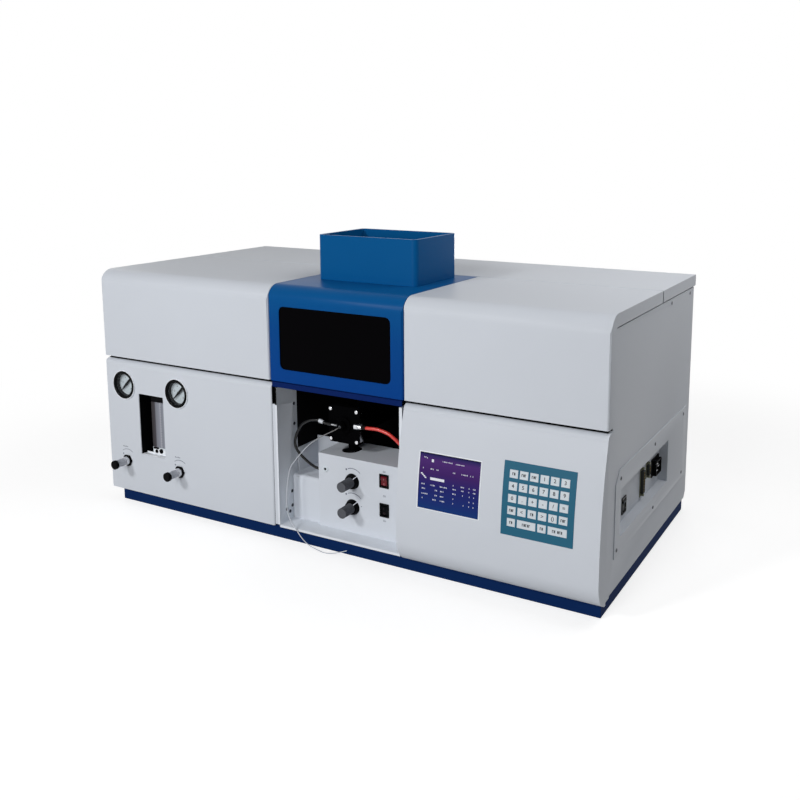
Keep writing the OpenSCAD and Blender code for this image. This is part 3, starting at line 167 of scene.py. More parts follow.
ENAMEL = dict(mottle=6, grain=0.08, grain_scale=700, specular=0.12)
THIN_ENAMEL = dict(grain=0.06, grain_scale=700)
# The hood's blue: a painted highlight, lighter and more cyan towards the top.
BLUE_HIGHLIGHT_TONES = ((0.0, (3, 62, 138)), (0.4, (4, 70, 138)), (0.75, (6, 88, 146)), (1.0, (4, 86, 144)))
# The flow meter's tube, across X: painted shade on its left side inside the window, and a painted highlight
# stripe further right.
TUBE_SHADE_AND_HIGHLIGHT_TONES = ((0.0, (34, 30, 34)), (0.26, (60, 56, 62)), (0.34, (122, 124, 134)), (0.6, (140, 143, 154)),
              (0.68, (170, 173, 182)), (0.76, (128, 131, 142)), (1.0, (150, 154, 164)))
SCREEN_TONES = ((0.0, (14, 54, 116)), (0.14, (22, 46, 114)), (0.42, (34, 36, 108)), (0.66, (64, 34, 102)),
                (0.88, (78, 44, 114)), (0.965, (46, 38, 96)), (1.0, (10, 10, 34)))
SAMPLE_TONES = ((0.0, (205, 210, 218)), (0.72, (196, 200, 208)), (0.86, (150, 150, 150)),
                (1.0, (104, 102, 100)))

# Painted sheet
WHITE = finish("white_enamel", (206, 211, 219), 0.42, tint=(211, 216, 224), **ENAMEL)
# A lighter copy of the white enamel for the bay's frame: painted light, brightening the bay in the hood's
# shade.
LIT_BAY_WHITE = finish("lit_bay_enamel", (226, 231, 238), 0.42, tint=(231, 236, 243), **ENAMEL)
# Blue enamel with a painted highlight towards the top, on the blue parts.
BLUE = shaded_finish("blue_enamel", BLUE_HIGHLIGHT_TONES, 0.28, 0.54, 0.36, 0.06, mottle=8, **THIN_ENAMEL)
LIP_BLUE = finish("lip_blue", (5, 30, 86), 0.45, tint=(7, 34, 92), mottle=8, specular=0.05, **THIN_ENAMEL)
NAVY = finish("navy_enamel", (12, 38, 84), 0.6, tint=(16, 43, 90), mottle=10, grain=0.05, grain_scale=700,
              specular=0.02)
DARK = finish("black_enamel", (5, 5, 6), 0.6, tint=(8, 8, 9), mottle=30, grain=0.15, grain_scale=600,
              specular=0.03)

# Metals
ZINC = finish("zinc_steel", (160, 164, 168), 0.42, 0.9, tint=(176, 178, 180), mottle=120, rough_spread=0.1)
CHROME = finish("bright_steel", (206, 208, 212), 0.18, 1.0, tint=(218, 219, 222), mottle=60)
CAST = finish("cast_alloy", (112, 114, 118), 0.6, 0.6, tint=(124, 126, 130), mottle=200, grain=0.3,
              grain_scale=500)
BURNER_STEEL = finish("burner_steel", (40, 41, 44), 0.5, 0.6, tint=(54, 54, 57), mottle=140, rough_spread=0.1)
DULL_STEEL = finish("dull_steel", (70, 72, 77), 0.35, 0.8, tint=(92, 94, 99), mottle=200)
SCREW = finish("screw_steel", (48, 52, 62), 0.4, 0.6, tint=(66, 70, 80), mottle=300)
KNURL = finish("knurled_alloy", (168, 170, 177), 0.4, 0.4, tint=(200, 202, 208), mottle=500,
               rough_spread=0.12, grain=0.6, grain_scale=1400, specular=0.5)
BRASS = finish("valve_brass", (186, 158, 96), 0.34, 1.0, tint=(196, 168, 106), mottle=120)
OLIVE = finish("plated_shell", (96, 98, 80), 0.45, 0.5, tint=(116, 118, 98), mottle=160)
PORT_SHELL = finish("port_shell", (34, 36, 34), 0.45, 0.4, tint=(46, 48, 44), mottle=200, specular=0.2)

# Plastics and rubber
BURNER_BLACK = finish("burner_black", (2, 2, 3), 0.65, tint=(4, 4, 5), mottle=60, grain=0.05, specular=0.01)
BLACK = finish("black_plastic", (4, 4, 6), 0.4, tint=(8, 8, 10), mottle=60, grain=0.12, specular=0.03)
GREY = finish("grey_plastic", (72, 74, 80), 0.5, tint=(84, 86, 92), mottle=80, grain=0.15, specular=0.25)
GLOSS = finish("gloss_black", (2, 3, 5), 0.2, tint=(4, 6, 8), mottle=60, specular=0.05)
RED = finish("gloss_red", (88, 10, 22), 0.25, tint=(104, 14, 28), mottle=80, specular=0.2)
DIAL = finish("dial_white", (192, 203, 210), 0.45, tint=(202, 212, 218), mottle=80, specular=0.2)
CLEAR = finish("clear_acrylic", (200, 206, 212), 0.1, tint=(208, 213, 218), mottle=60, alpha=0.02,
               specular=0.15)
# The flow meter's tube, with painted shade and a painted highlight across it.
SHADED_FROST = shaded_finish("frosted_acrylic", TUBE_SHADE_AND_HIGHLIGHT_TONES, -0.403, -0.369, 0.3, 0.2, axis="X", mottle=18)
WINDOW = finish("smoked_glass", (1, 1, 2), 0.12, tint=(2, 1, 3), mottle=20, specular=0.02)
SCREEN = shaded_finish("screen_glass", SCREEN_TONES, 0.130, 0.219, 0.22, 0.08, mottle=12)
FILM = finish("keypad_film", (34, 93, 119), 0.45, tint=(40, 101, 127), mottle=22, grain=0.1,
              grain_scale=1200, specular=0.15)
KEY = finish("key_white", (206, 214, 221), 0.45, tint=(216, 223, 229), mottle=120, grain=0.1,
             grain_scale=1200, specular=0.3)
# A white lighter than the enamel, a painted highlight on the gauges' rims, the flow meter's foot and the
# screen's frame.
HIGHLIGHT_WHITE = finish("highlight_white", (236, 240, 246), 0.35, tint=(242, 245, 250), mottle=80, specular=0.4)
RUBBER = finish("foot_rubber", (20, 20, 21), 0.75, tint=(28, 28, 29), mottle=80, grain=0.2, specular=0.2)
BOARD = finish("board_green", (18, 78, 48), 0.45, tint=(24, 88, 54), mottle=150, grain=0.2)

# Hoses
PALE = finish("white_tube", (196, 202, 210), 0.3, tint=(214, 218, 224), mottle=60, specular=0.4)
SAMPLE = shaded_finish("sample_tubing", SAMPLE_TONES, 0.06, 0.217, 0.3, 0.4, mottle=60)
HOSE = finish("black_hose", (4, 4, 6), 0.12, tint=(8, 9, 11), mottle=90, specular=0.4)
RED_HOSE = finish("red_hose", (214, 52, 46), 0.28, tint=(226, 68, 60), mottle=90, coat=0.2)
BRAID = finish("braided_sleeve", (12, 11, 12), 0.6, tint=(44, 36, 36), mottle=900, grain=0.8,
               grain_scale=1600, depth=0.0004, specular=0.1)

# Printed marks
INK = finish("grey_ink", (96, 102, 118), 0.6, tint=(104, 110, 126), mottle=200, specular=0.1)
DARK_INK = finish("black_ink", (14, 15, 22), 0.6, tint=(22, 24, 32), mottle=200, specular=0.05)
WHITE_INK = finish("white_ink", (224, 226, 238), 0.5, tint=(236, 238, 244), mottle=200, specular=0.1)
FAINT_INK = finish("faint_ink", (60, 46, 54), 0.5, tint=(72, 56, 64), mottle=200, specular=0.05)
ROSE_INK = finish("rose_ink", (168, 104, 112), 0.5, tint=(178, 114, 120), mottle=200, specular=0.05)

SLOT_FINISH = {
    "white_enamel": WHITE, "blue_enamel": BLUE, "navy_enamel": NAVY, "black_enamel": DARK,
    "zinc_steel": ZINC, "bright_steel": CHROME, "cast_alloy": CAST, "black_plastic": BLACK,
    "grey_plastic": GREY, "gloss_black": GLOSS, "gloss_red": RED, "dial_white": DIAL,
    "clear_acrylic": CLEAR, "smoked_glass": WINDOW, "screen_glass": SCREEN, "keypad_film": FILM,
    "foot_rubber": RUBBER, "board_green": BOARD, "valve_brass": BRASS, "white_tube": PALE,
    "black_hose": HOSE, "red_hose": RED_HOSE,
}
NODE_SLOT = {row["node"]: row["material_slot"] for row in frame["record"]["subparts"]}
NODE_BODY = {name: body for body, names in frame["record"]["behaviour"]["bodies"].items() for name in names}
NODE_FINISH = {name: SLOT_FINISH[slot] for name, slot in NODE_SLOT.items()}
NODE_FINISH["burner_head"] = BURNER_STEEL
# The bay's frame is painted lighter than the other white enamel, as painted light.
NODE_FINISH["bay_frame"] = LIT_BAY_WHITE
NODE_FINISH["side_connectors"] = PORT_SHELL
for name in ("mixing_chamber", "end_cap", "nebulizer", "lift_column", "air_needle", "fuel_needle"):
    NODE_FINISH[name] = BURNER_BLACK
for name, node in nodes.items():
    node.data.materials.clear()
    node.data.materials.append(NODE_FINISH[name])


# Making pieces

EASED_SMOOTH = 20       # degrees; less than the step of an eased edge, so that wide faces stay flat
FIGURE_SHARE = 0.7      # a figure's height as a share of its font's size


def piece(name, work, body, slot, *finishes, smooth=35):
    """Turns a filled bmesh into a piece that rides on a body."""
    mesh = bpy.data.meshes.new(name)
    work.to_mesh(mesh)
    work.free()
    for f in finishes:
        mesh.materials.append(f)
    mesh.polygons.foreach_set("use_smooth", [True] * len(mesh.polygons))
    mesh.set_sharp_from_angle(angle=radians(smooth))
    made = bpy.data.objects.new(name, mesh)
    bpy.context.scene.collection.objects.link(made)
    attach(made, body)
    return made


def refine(node, width=0.0004, segments=2, sharp=28, cut_z=None, paint=()):
    """A copy of a CAD node with its edges eased and, at cut_z millimetres, its faces cut in two.
    paint is (test of a face's centre in millimetres, finish) pairs."""
    work = bmesh.new()
    work.from_mesh(nodes[node].data)
    bmesh.ops.remove_doubles(work, verts=work.verts, dist=2e-6)
    bmesh.ops.dissolve_limit(work, angle_limit=radians(1), verts=work.verts, edges=work.edges)
    edges = [e for e in work.edges if len(e.link_faces) == 2 and e.calc_face_angle(0) > radians(sharp)]
    if width:
        bmesh.ops.bevel(work, geom=edges, offset=width, offset_type="OFFSET", affect="EDGES",
                        segments=segments, profile=0.5, material=-1, clamp_overlap=True)
    if cut_z is not None:
        bmesh.ops.bisect_plane(work, geom=work.verts[:] + work.edges[:] + work.faces[:], dist=1e-6,
                               plane_co=(0, 0, cut_z / 1000), plane_no=(0, 0, 1))
    finishes = [NODE_FINISH[node]]
    for i, (test, f) in enumerate(paint):
        finishes.append(f)
        for face in work.faces:
            c = face.calc_center_median() * 1000
            if test(c.x, c.y - FRONT, c.z):
                face.material_index = i + 1
    made = piece(node + "_finish", work, NODE_BODY[node], NODE_SLOT[node], *finishes, smooth=EASED_SMOOTH)
    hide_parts(node)
    return made


def join(work, part, place):
    """Adds a separate shape to a piece, with its doubles merged and its faces turned outwards."""
    bmesh.ops.remove_doubles(part, verts=part.verts, dist=1e-7)
    bmesh.ops.recalc_face_normals(part, faces=part.faces)
    bmesh.ops.transform(part, matrix=place, verts=part.verts)
    mesh = bpy.data.meshes.new("part")
    part.to_mesh(mesh)
    part.free()
    work.from_mesh(mesh)
    bpy.data.meshes.remove(mesh)


def add_block(work, low, high, place=MACHINE, ease=0.0):
    """A block between two corners in millimetres, its edges eased."""
    low, high = Vector(low) / 1000, Vector(high) / 1000
    part = bmesh.new()
    bmesh.ops.create_cube(part, size=1)
    bmesh.ops.scale(part, vec=high - low, verts=part.verts)
    bmesh.ops.translate(part, vec=(low + high) / 2, verts=part.verts)
    if ease:
        bmesh.ops.bevel(part, geom=part.edges[:], offset=ease / 1000, offset_type="OFFSET", affect="EDGES",
                        segments=2, profile=0.5, material=-1, clamp_overlap=True)
    join(work, part, place)


def along(start, end):
    """The place of a shape drawn up the Z axis, so that it goes from start to end."""
    start, end = Vector(start) / 1000, Vector(end) / 1000
    return MACHINE @ Matrix.Translation(start) @ (end - start).to_track_quat("Z", "Y").to_matrix().to_4x4()


def add_turned(work, outline, start, end, steps=48):
    """A turned shape. outline is (radius, distance along the axis) in millimetres, closed on itself."""
    part = bmesh.new()
    ring = [part.verts.new((r / 1000, 0, d / 1000)) for r, d in outline]
    edges = [part.edges.new((a, b)) for a, b in zip(ring, ring[1:] + ring[:1])]
    bmesh.ops.spin(part, geom=ring + edges, cent=(0, 0, 0), axis=(0, 0, 1), angle=2 * pi, steps=steps,
                   use_merge=True)
    bmesh.ops.remove_doubles(part, verts=part.verts, dist=1e-6)
    bmesh.ops.dissolve_degenerate(part, dist=1e-7, edges=part.edges)
    join(work, part, along(start, end))


def add_rod(work, start, end, r1, r2=None, sides=32):
    """A round rod or cone between two points in millimetres."""
    part = bmesh.new()
    long = (Vector(end) - Vector(start)).length / 1000
    bmesh.ops.create_cone(part, cap_ends=True, segments=sides, radius1=r1 / 1000,
                          radius2=(r1 if r2 is None else r2) / 1000, depth=long)
    bmesh.ops.translate(part, vec=(0, 0, long / 2), verts=part.verts)
    join(work, part, along(start, end))


def add_arc(work, x, z, radius, width, start, end, low_y, high_y):
    """A flat arc on a front plane; angles in degrees from +X towards +Z."""
    part = bmesh.new()
    a = radians(start)
    ring = [part.verts.new(((x + r * cos(a)) / 1000, y / 1000, (z + r * sin(a)) / 1000))
            for r, y in ((radius - width / 2, low_y), (radius + width / 2, low_y),
                         (radius + width / 2, high_y), (radius - width / 2, high_y))]
    whole = end - start >= 360
    edges = [part.edges.new((p, q)) for p, q in zip(ring, ring[1:] + ring[:1])]
    profile = ring + edges + ([] if whole else [part.faces.new(ring)])
    bmesh.ops.spin(part, geom=profile, cent=(x / 1000, 0, z / 1000), axis=(0, -1, 0),
                   angle=radians(end - start), steps=max(6, int((end - start) / 6)), use_merge=whole)
    join(work, part, MACHINE)


def add_letters(work, words, height, place, bold=0.0):
    """Plain figures, drawn facing -Y and centred on the origin before they are placed."""
    curve = bpy.data.curves.new("figures", "FONT")
    curve.body = words
    curve.size = height / 1000 / FIGURE_SHARE
    curve.align_x, curve.align_y = "CENTER", "CENTER"
    curve.extrude = 0.00004
    curve.resolution_u = 3
    curve.offset = bold / 1000
    holder = bpy.data.objects.new("figures", curve)
    bpy.context.scene.collection.objects.link(holder)
    mesh = bpy.data.meshes.new_from_object(holder.evaluated_get(bpy.context.evaluated_depsgraph_get()))
    bpy.data.objects.remove(holder)
    bpy.data.curves.remove(curve)
    part = bmesh.new()
    part.from_mesh(mesh)
    bpy.data.meshes.remove(mesh)
    join(work, part, place @ Matrix.Rotation(pi / 2, 4, "X"))


# Hoses and the sample tube, along the CAD's routes, with X measured from the burner column

COLUMN_X = 16.0
CAPILLARY = [
    (0, 38, 215), (0, 34, 214.5), (-4, 31, 211.5), (-13, 30, 206.5), (-24, 28, 200.5), (-36, 26, 193),
    (-49, 23, 183.5), (-60, 20, 173), (-70, 17, 161), (-79, 14, 149), (-86, 12, 139), (-90, 10, 126),
    (-92, 8, 109), (-93, 6, 91), (-92, 4, 71), (-87, 1, 54), (-78, -2, 41), (-66, -4, 30), (-54, -5, 18),
    (-40, -5, 8.5), (-23, -5, 3.5), (-6, -5, 1), (8, -5, 3), (24, -5, 8), (41, -5, 15),
]
OXIDANT = [
    (-22, 45, 215), (-30, 45, 215), (-39, 45, 216.5), (-48, 44.5, 218.5), (-57, 43.5, 218.5), (-68, 42, 216),
    (-78, 41.5, 210.5), (-86, 41, 203.5), (-93, 40, 191), (-97, 40, 180), (-98.5, 40, 170),
    (-96, 41.5, 159), (-91, 45, 149), (-84, 49, 140), (-76, 53.5, 131.5), (-68, 58, 125),
    (-59, 61, 122), (-50, 62, 121), (-41, 62, 121), (-34, 62, 121),
]
FUEL = [
    (40, 48, 218), (48, 48, 218), (58, 48, 218.5), (70, 49, 218.5), (81, 50, 216.5), (92, 52, 212.5),
    (101, 54, 206), (109, 57, 198), (117, 60.5, 190), (126, 64.5, 183), (135, 68.5, 178.5),
    (144, 71, 177.2), (148, 72, 177), (156, 72, 177),
]


def smooth_route(points, steps=4):
    """The same route with points between, on a smooth curve through all of them."""
    p = [at(x + COLUMN_X, y, z) for x, y, z in points]
    route = []
    for i in range(len(p) - 1):
        a, b, c, d = p[max(i - 1, 0)], p[i], p[i + 1], p[min(i + 2, len(p) - 1)]
        for k in range(steps):
            t = k / steps
            route.append(0.5 * (2 * b + (c - a) * t + (2 * a - 5 * b + 4 * c - d) * t * t
                                + (3 * b - a - 3 * c + d) * t ** 3))
    return route + [p[-1]]


def add_hose(name, points, diameter, node, look):
    route = smooth_route(points)
    curve = bpy.data.curves.new(name, "CURVE")
    curve.dimensions = "3D"
    curve.bevel_depth = diameter / 2
    curve.bevel_resolution = 4
    curve.use_fill_caps = True
    line = curve.splines.new("POLY")
    line.points.add(len(route) - 1)
    for point, place in zip(line.points, route):
        point.co = (*place, 1)
    curve.materials.append(look)
    made = bpy.data.objects.new(name, curve)
    bpy.context.scene.collection.objects.link(made)
    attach(made, LIFT)
    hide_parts(node)
    return made


def hose_sleeve(name, route, first, last, radius, ribs, slot, look):
    """A ribbed sleeve drawn over a stretch of a hose, between two of its route's points."""
    work = bmesh.new()
    start, end = [Vector((p[0] + COLUMN_X, p[1], p[2])) for p in (route[first], route[last])]
    long = (end - start).length
    outline = [(radius - 1.2, 0)]
    for i in range(ribs):
        d = long * i / ribs
        outline += [(radius - 0.35, d), (radius, d + long * 0.3 / ribs), (radius, d + long * 0.7 / ribs)]
    outline += [(radius - 0.35, long), (radius - 1.2, long)]
    add_turned(work, outline, start, end, 24)
    return piece(name, work, LIFT, slot, look)


fuel_sleeve = hose_sleeve("fuel_sleeve", FUEL, 0, 1, 3.9, 7, "black_hose", BRAID)
oxidant_joint = hose_sleeve("oxidant_joint", OXIDANT, 2, 3, 3.6, 1, "white_tube", PALE)
add_hose("sample_tube", CAPILLARY, 0.0016, "capillary_tube", SAMPLE)
add_hose("oxidant_line", OXIDANT, 0.005, "oxidant_hose", HOSE)
add_hose("fuel_line", FUEL, 0.006, "fuel_hose", RED_HOSE)


# Casing. The paint tests pick faces by their centres

HOOD_LIP_Z = 292.5
SIDE_HEADS_X, PLATE_HEADS_X = 508.05, 509.3
SLOT_Z = 249.5
TRAY_TOP_Z = 34


def in_slot_shade(x, y, z):
    """The upper front of the bay's left cheek, painted dark as painted shade in the slot beside the gas
    panel's notch.
    """
    return x < -89.1 and y < 0.5 and z > SLOT_Z + 0.5


def on_cheek_screw(x, y, z):
    """The screw heads on the inner faces of the bay's cheeks."""
    return z > TRAY_TOP_Z and (-88.95 < x < -88 or 159.1 < x < 159.95)


for name in ("lamp_cover", "right_cover", "rear_top_cover", "control_panel",
             "left_side_panel", "base_plinth", "chimney", "burner_shelf", "rear_panel"):
    refine(name)
refine("flame_hood", paint=[(lambda x, y, z: z < HOOD_LIP_Z, LIP_BLUE)])
refine("right_side_panel", paint=[(lambda x, y, z: x > SIDE_HEADS_X, SCREW)])
refine("connector_plate", paint=[(lambda x, y, z: x > PLATE_HEADS_X, SCREW)])
# The gas panel's edge beside the slot is painted dark, as painted shade in the slot.
refine("gas_panel", paint=[(lambda x, y, z: x > -101.2 and y > 2.5, DARK)])
refine("bay_frame", cut_z=SLOT_Z, paint=[(in_slot_shade, DARK), (on_cheek_screw, SCREW)])
refine("left_bulkhead", paint=[(lambda x, y, z: y < 4.2, WHITE)])
refine("chamber_liner")
refine("lamp_deck", paint=[(lambda x, y, z: y < 9, DARK)])
refine("optics_deck")


# Gauges

GAUGES = (-461.0, -325.0)
GAUGE_Z = 239.0
DIAL_Y = 8.0
TICKS, TICK_STEP, FIRST_TICK = 51, 5.4, -135
TICK_R, FIGURE_R, FIGURE_H = 19.6, 12.8, 3.4
BEZEL = ((21.3, -2), (21.3, 1), (22.4, 2.6), (24.4, 3.4), (26.4, 3.0), (27.3, 2.2), (27.3, 0))
# The rims are whiter than the panel, a painted highlight round each bezel.
RIM = ((27.2, 0), (27.2, 2.3), (27.8, 2.6), (28.4, 2.1), (28.4, 0))
REST_TURN = 45          # degrees of the needles at rest


def dial_scale(x):
    """Ticks and plain figures on a gauge's dial, from 0 at the lower left to 10."""
    work = bmesh.new()
    for i in range(TICKS):
        a = radians(FIRST_TICK + TICK_STEP * i)
        turn = Matrix.Translation(at(x, DIAL_Y, GAUGE_Z)) @ Matrix.Rotation(a, 4, "Y")
        major = i % 10 == 0
        long, wide = (3.4, 0.5) if major else (2.4, 0.3) if i % 5 == 0 else (1.5, 0.22)
        add_block(work, (-wide / 2, -0.08, TICK_R - long), (wide / 2, 0.02, TICK_R), turn)
        if major:
            spot = at(x + FIGURE_R * sin(a), DIAL_Y - 0.04, GAUGE_Z + FIGURE_R * cos(a))
            add_letters(work, str(i // 5), FIGURE_H, Matrix.Translation(spot))
    add_arc(work, x, GAUGE_Z, TICK_R + 0.1, 0.3, -45, 225, DIAL_Y - 0.07, DIAL_Y + 0.02)
    return work


for side, x in zip(("air", "fuel"), GAUGES):
    piece(side + "_scale", dial_scale(x), CABINET, "gloss_black", DARK_INK)
    for part_name, outline, slot, look in (("_bezel", BEZEL, "gloss_black", GLOSS),
                                           ("_rim", RIM, "bright_steel", HIGHLIGHT_WHITE)):
        work = bmesh.new()
        add_turned(work, outline, (x, 0, GAUGE_Z), (x, -4, GAUGE_Z), 64)
        piece(side + part_name, work, CABINET, slot, look)
    work = bmesh.new()
    turn = Matrix.Translation(at(x, 0, GAUGE_Z)) @ Matrix.Rotation(radians(REST_TURN), 4, "Y")
    add_block(work, (-2.1, 3.6, 3.5), (2.1, 4.3, 14.5), turn, ease=0.2)
    piece(side + "_tail", work, side + "_pointer", "black_plastic", BURNER_BLACK)


# Flow meter, in its window

WINDOW_LEFT, WINDOW_RIGHT, WINDOW_Z = -424.0, -361.0, 106.0
TUBE_X = -386.0
PORT_X = WINDOW_RIGHT - 6
SCALE_Z, SCALE_STEP = 128, 5

# The housing's faces low in the window are painted white, a painted highlight along its lower edge.
refine("flowmeter_housing", paint=[(lambda x, y, z: x > -406 and y < 12.6 and z < 122, KEY)])
# The tube's painted shade and painted highlight come from its finish.
refine("flowmeter_tube", paint=[(lambda x, y, z: True, SHADED_FROST)])


def flow_scale():
    """Fine ticks on the front of the flow meter's tube block."""
    work = bmesh.new()
    left = TUBE_X + 5.5
    for i in range(16):
        z = SCALE_Z + SCALE_STEP * i
        add_block(work, (left, 9.9, z - 0.2), (left + (5 if i % 5 == 0 else 2.8), 10.05, z + 0.2))
    return work


def flow_foot():
    """The bright block under the tube, the strips along the window's lower edge, which are a painted
    highlight, and a port.
    """
    work = bmesh.new()
    add_block(work, (TUBE_X - 15, 10.6, WINDOW_Z + 1.4), (TUBE_X + 17, 12.1, WINDOW_Z + 11.5), ease=0.6)
    add_block(work, (WINDOW_LEFT + 4, 10.9, WINDOW_Z + 0.1),
              (WINDOW_RIGHT - 3, 12.4, WINDOW_Z + 3.6), ease=0.5)
    add_block(work, (WINDOW_LEFT + 1.4, 1.0, WINDOW_Z),
              (WINDOW_RIGHT - 1.2, 11.6, WINDOW_Z + 0.6), ease=0.1)
    add_rod(work, (PORT_X, 12, WINDOW_Z + 5.5), (PORT_X, 9.6, WINDOW_Z + 5.5), 3.6, 3.0)
    return work


def flow_fittings():
    """The dark clamp and bores of the foot."""
    work = bmesh.new()
    add_block(work, (TUBE_X - 16.5, 10.2, WINDOW_Z + 10.8), (TUBE_X - 3.5, 12.2, WINDOW_Z + 14.6), ease=0.8)
    for x, start, end, dz, radius in ((TUBE_X - 8, 10.7, 9.6, 7, 3.6), (TUBE_X + 4, 10.7, 9.6, 8.5, 4.6),
                                      (PORT_X, 9.7, 9.1, 5.5, 2.5)):
        add_rod(work, (x, start, WINDOW_Z + dz), (x, end, WINDOW_Z + dz), radius)
    return work


piece("flow_scale", flow_scale(), CABINET, "white_tube", DULL_STEEL)
piece("flow_foot", flow_foot(), CABINET, "dial_white", HIGHLIGHT_WHITE)
piece("flow_fittings", flow_fittings(), CABINET, "black_plastic", BLACK)


# Needle valves and their printed marks

VALVES, VALVE_Z = (-462.0, -325.0), 87.0
VALVE_CAP_Y = -29.9

refine("valve_bodies", width=0.0003, paint=[(lambda x, y, z: -4.3 < y < 0.3, BLACK)])
for side in ("air", "fuel"):
    refine(side + "_valve_knob", width=0, paint=[(lambda x, y, z: y < VALVE_CAP_Y, BLACK),
                                                 (lambda x, y, z: y > VALVE_CAP_Y, KNURL)])

work = bmesh.new()
for x in VALVES:
    add_arc(work, x, VALVE_Z, 22.5, 0.9, 52, 126, -0.1, 0.05)
    add_rod(work, (x - 11.5, 0.05, VALVE_Z + 12), (x - 11.5, -0.1, VALVE_Z + 12), 1.5, sides=20)
    for k in range(4):
        left = x - 11 + 3.4 * k
        add_block(work, (left, -0.08, VALVE_Z + 26.4), (left + 2, 0.05, VALVE_Z + 28.6 - 0.5 * (k % 2)))
piece("gas_panel_prints", work, CABINET, "grey_plastic", INK)


# Burner bay

KNOB_X, SHELF_Y, ROCKER_X = 44.0, 34.0, 109.0
HEIGHT_Z, DEPTH_Z = 123.5, 77.0
ROCKERS = {"ignition": 135.5, "gas": 83.5}
PLUG_X, PLUG_Z = -12.5, 136
PLUG_RING = ((2.3, 0), (2.3, 0.9), (3.2, 1.7), (5.0, 1.4), (6.0, 0.4), (6.0, 0))
PRINT = (SHELF_Y - 0.1, SHELF_Y + 0.05)     # front and back of what is printed on the burner box
FUEL_INLET = (48, 218)
KNOB_TURN, SKIRT_SLOPE = 42, 19             # degrees of the white lines at rest, and of the skirt


def on_cap_metal_and_glint(x, y, z):
    """The end cap's screw heads, and the upper half of its fuel inlet's ring as a painted highlight; the
    ring's lower half stays black.
    """
    inlet = x > 42.5 and z > 219 and 5 < hypot(y - FUEL_INLET[0], z - FUEL_INLET[1]) < 6.6
    return y < 50.6 and abs(x - COLUMN_X) > 20 or inlet


refine("cross_slide", paint=[(lambda x, y, z: z > 140, BLACK)])
refine("end_cap", width=0.0003, paint=[(on_cap_metal_and_glint, CHROME)])
refine("nebulizer", width=0.0003, paint=[(lambda x, y, z: x < 9 or y < 38.9, DULL_STEEL),
                                         (lambda x, y, z: x < 3, CHROME)])
for node in ("height_knob", "depth_knob"):
    refine(node, width=0, paint=[(lambda x, y, z: 26.6 < y < 33.9, BLACK)])


def knob_line(z):
    """The white line across a burner knob's black skirt."""
    work = bmesh.new()
    turn = Matrix.Translation(at(KNOB_X, 0, z)) @ Matrix.Rotation(radians(KNOB_TURN), 4, "Y")
    add_block(work, (-0.7, 26.55, 9.1), (0.7, 26.75, 11.7), turn)
    slope = Matrix.Translation((0, 0.0267, 0.01165)) @ Matrix.Rotation(radians(SKIRT_SLOPE), 4, "X")
    add_block(work, (-0.7, -0.05, -0.1), (0.7, 7.3, 0.12), turn @ slope)
    return work


def add_dot(work, x, z, radius, sides):
    """A printed dot on the burner box."""
    add_rod(work, (x, PRINT[1], z), (x, PRINT[0], z), radius, sides=sides)


piece("height_line", knob_line(HEIGHT_Z), "height_adjuster", "white_enamel", WHITE_INK)
piece("depth_line", knob_line(DEPTH_Z), "depth_adjuster", "white_enamel", WHITE_INK)

work = bmesh.new()
for z, radius in ((HEIGHT_Z, 23.2), (DEPTH_Z, 25.0)):
    add_arc(work, KNOB_X, z, radius, 1.1, 46, 112, *PRINT)
    a = radians(122)
    add_dot(work, KNOB_X + radius * cos(a), z + radius * sin(a), 1.7, 20)
add_dot(work, KNOB_X + 18, DEPTH_Z + 4, 0.9, 16)
for z in (151.8, 108.7, 64.5):
    add_arc(work, ROCKER_X - 0.8, z, 1.5, 0.6, 0, 360, *PRINT)
    add_block(work, (ROCKER_X + 1.9, PRINT[0], z - 1.5), (ROCKER_X + 2.5, PRINT[1], z + 1.5))
piece("burner_panel_prints", work, CABINET, "grey_plastic", INK)

work = bmesh.new()
add_turned(work, PLUG_RING, (PLUG_X, SHELF_Y, PLUG_Z), (PLUG_X, SHELF_Y - 2, PLUG_Z), 40)
piece("plug_ring", work, CABINET, "white_tube", KEY)
work = bmesh.new()
add_rod(work, (PLUG_X, SHELF_Y + 0.2, PLUG_Z), (PLUG_X, SHELF_Y - 0.5, PLUG_Z), 2.4, sides=24)
piece("plug_core", work, CABINET, "black_plastic", BLACK)


# Rocker switches

ROCKER_DIP = 1.8        # how far a rocker's middle lies under the line between its ends
ROCKER_TURN = 9         # degrees at rest
MAINS_AT = (493.2, 137, 131.5)


def rocker_marks(hold, reach, half):
    """A bar and a ring on the two halves of a rocker. hold places the switch's own face."""
    work = bmesh.new()
    lean = asin(ROCKER_DIP / hypot(ROCKER_DIP, half))
    tilted = hold @ Matrix.Translation((0, 0.004, 0)) @ Matrix.Rotation(radians(ROCKER_TURN), 4, "X")
    upper = tilted @ Matrix.Translation((0, -0.0055, half / 2000)) @ Matrix.Rotation(lean, 4, "X")
    lower = tilted @ Matrix.Translation((0, -0.0055, -half / 2000)) @ Matrix.Rotation(-lean, 4, "X")
    add_block(work, (-0.4, -0.1, -reach), (0.4, 0.1, reach), upper)
    part = bmesh.new()
    corners = ((1.1, -0.1), (1.7, -0.1), (1.7, 0.1), (1.1, 0.1))
    ring = [part.verts.new((r / 1000, y / 1000, 0)) for r, y in corners]
    edges = [part.edges.new((a, b)) for a, b in zip(ring, ring[1:] + ring[:1])]
    bmesh.ops.spin(part, geom=ring + edges, cent=(0, 0, 0), axis=(0, 1, 0), angle=2 * pi, steps=24,
                   use_merge=True)
    join(work, part, lower)
    return work


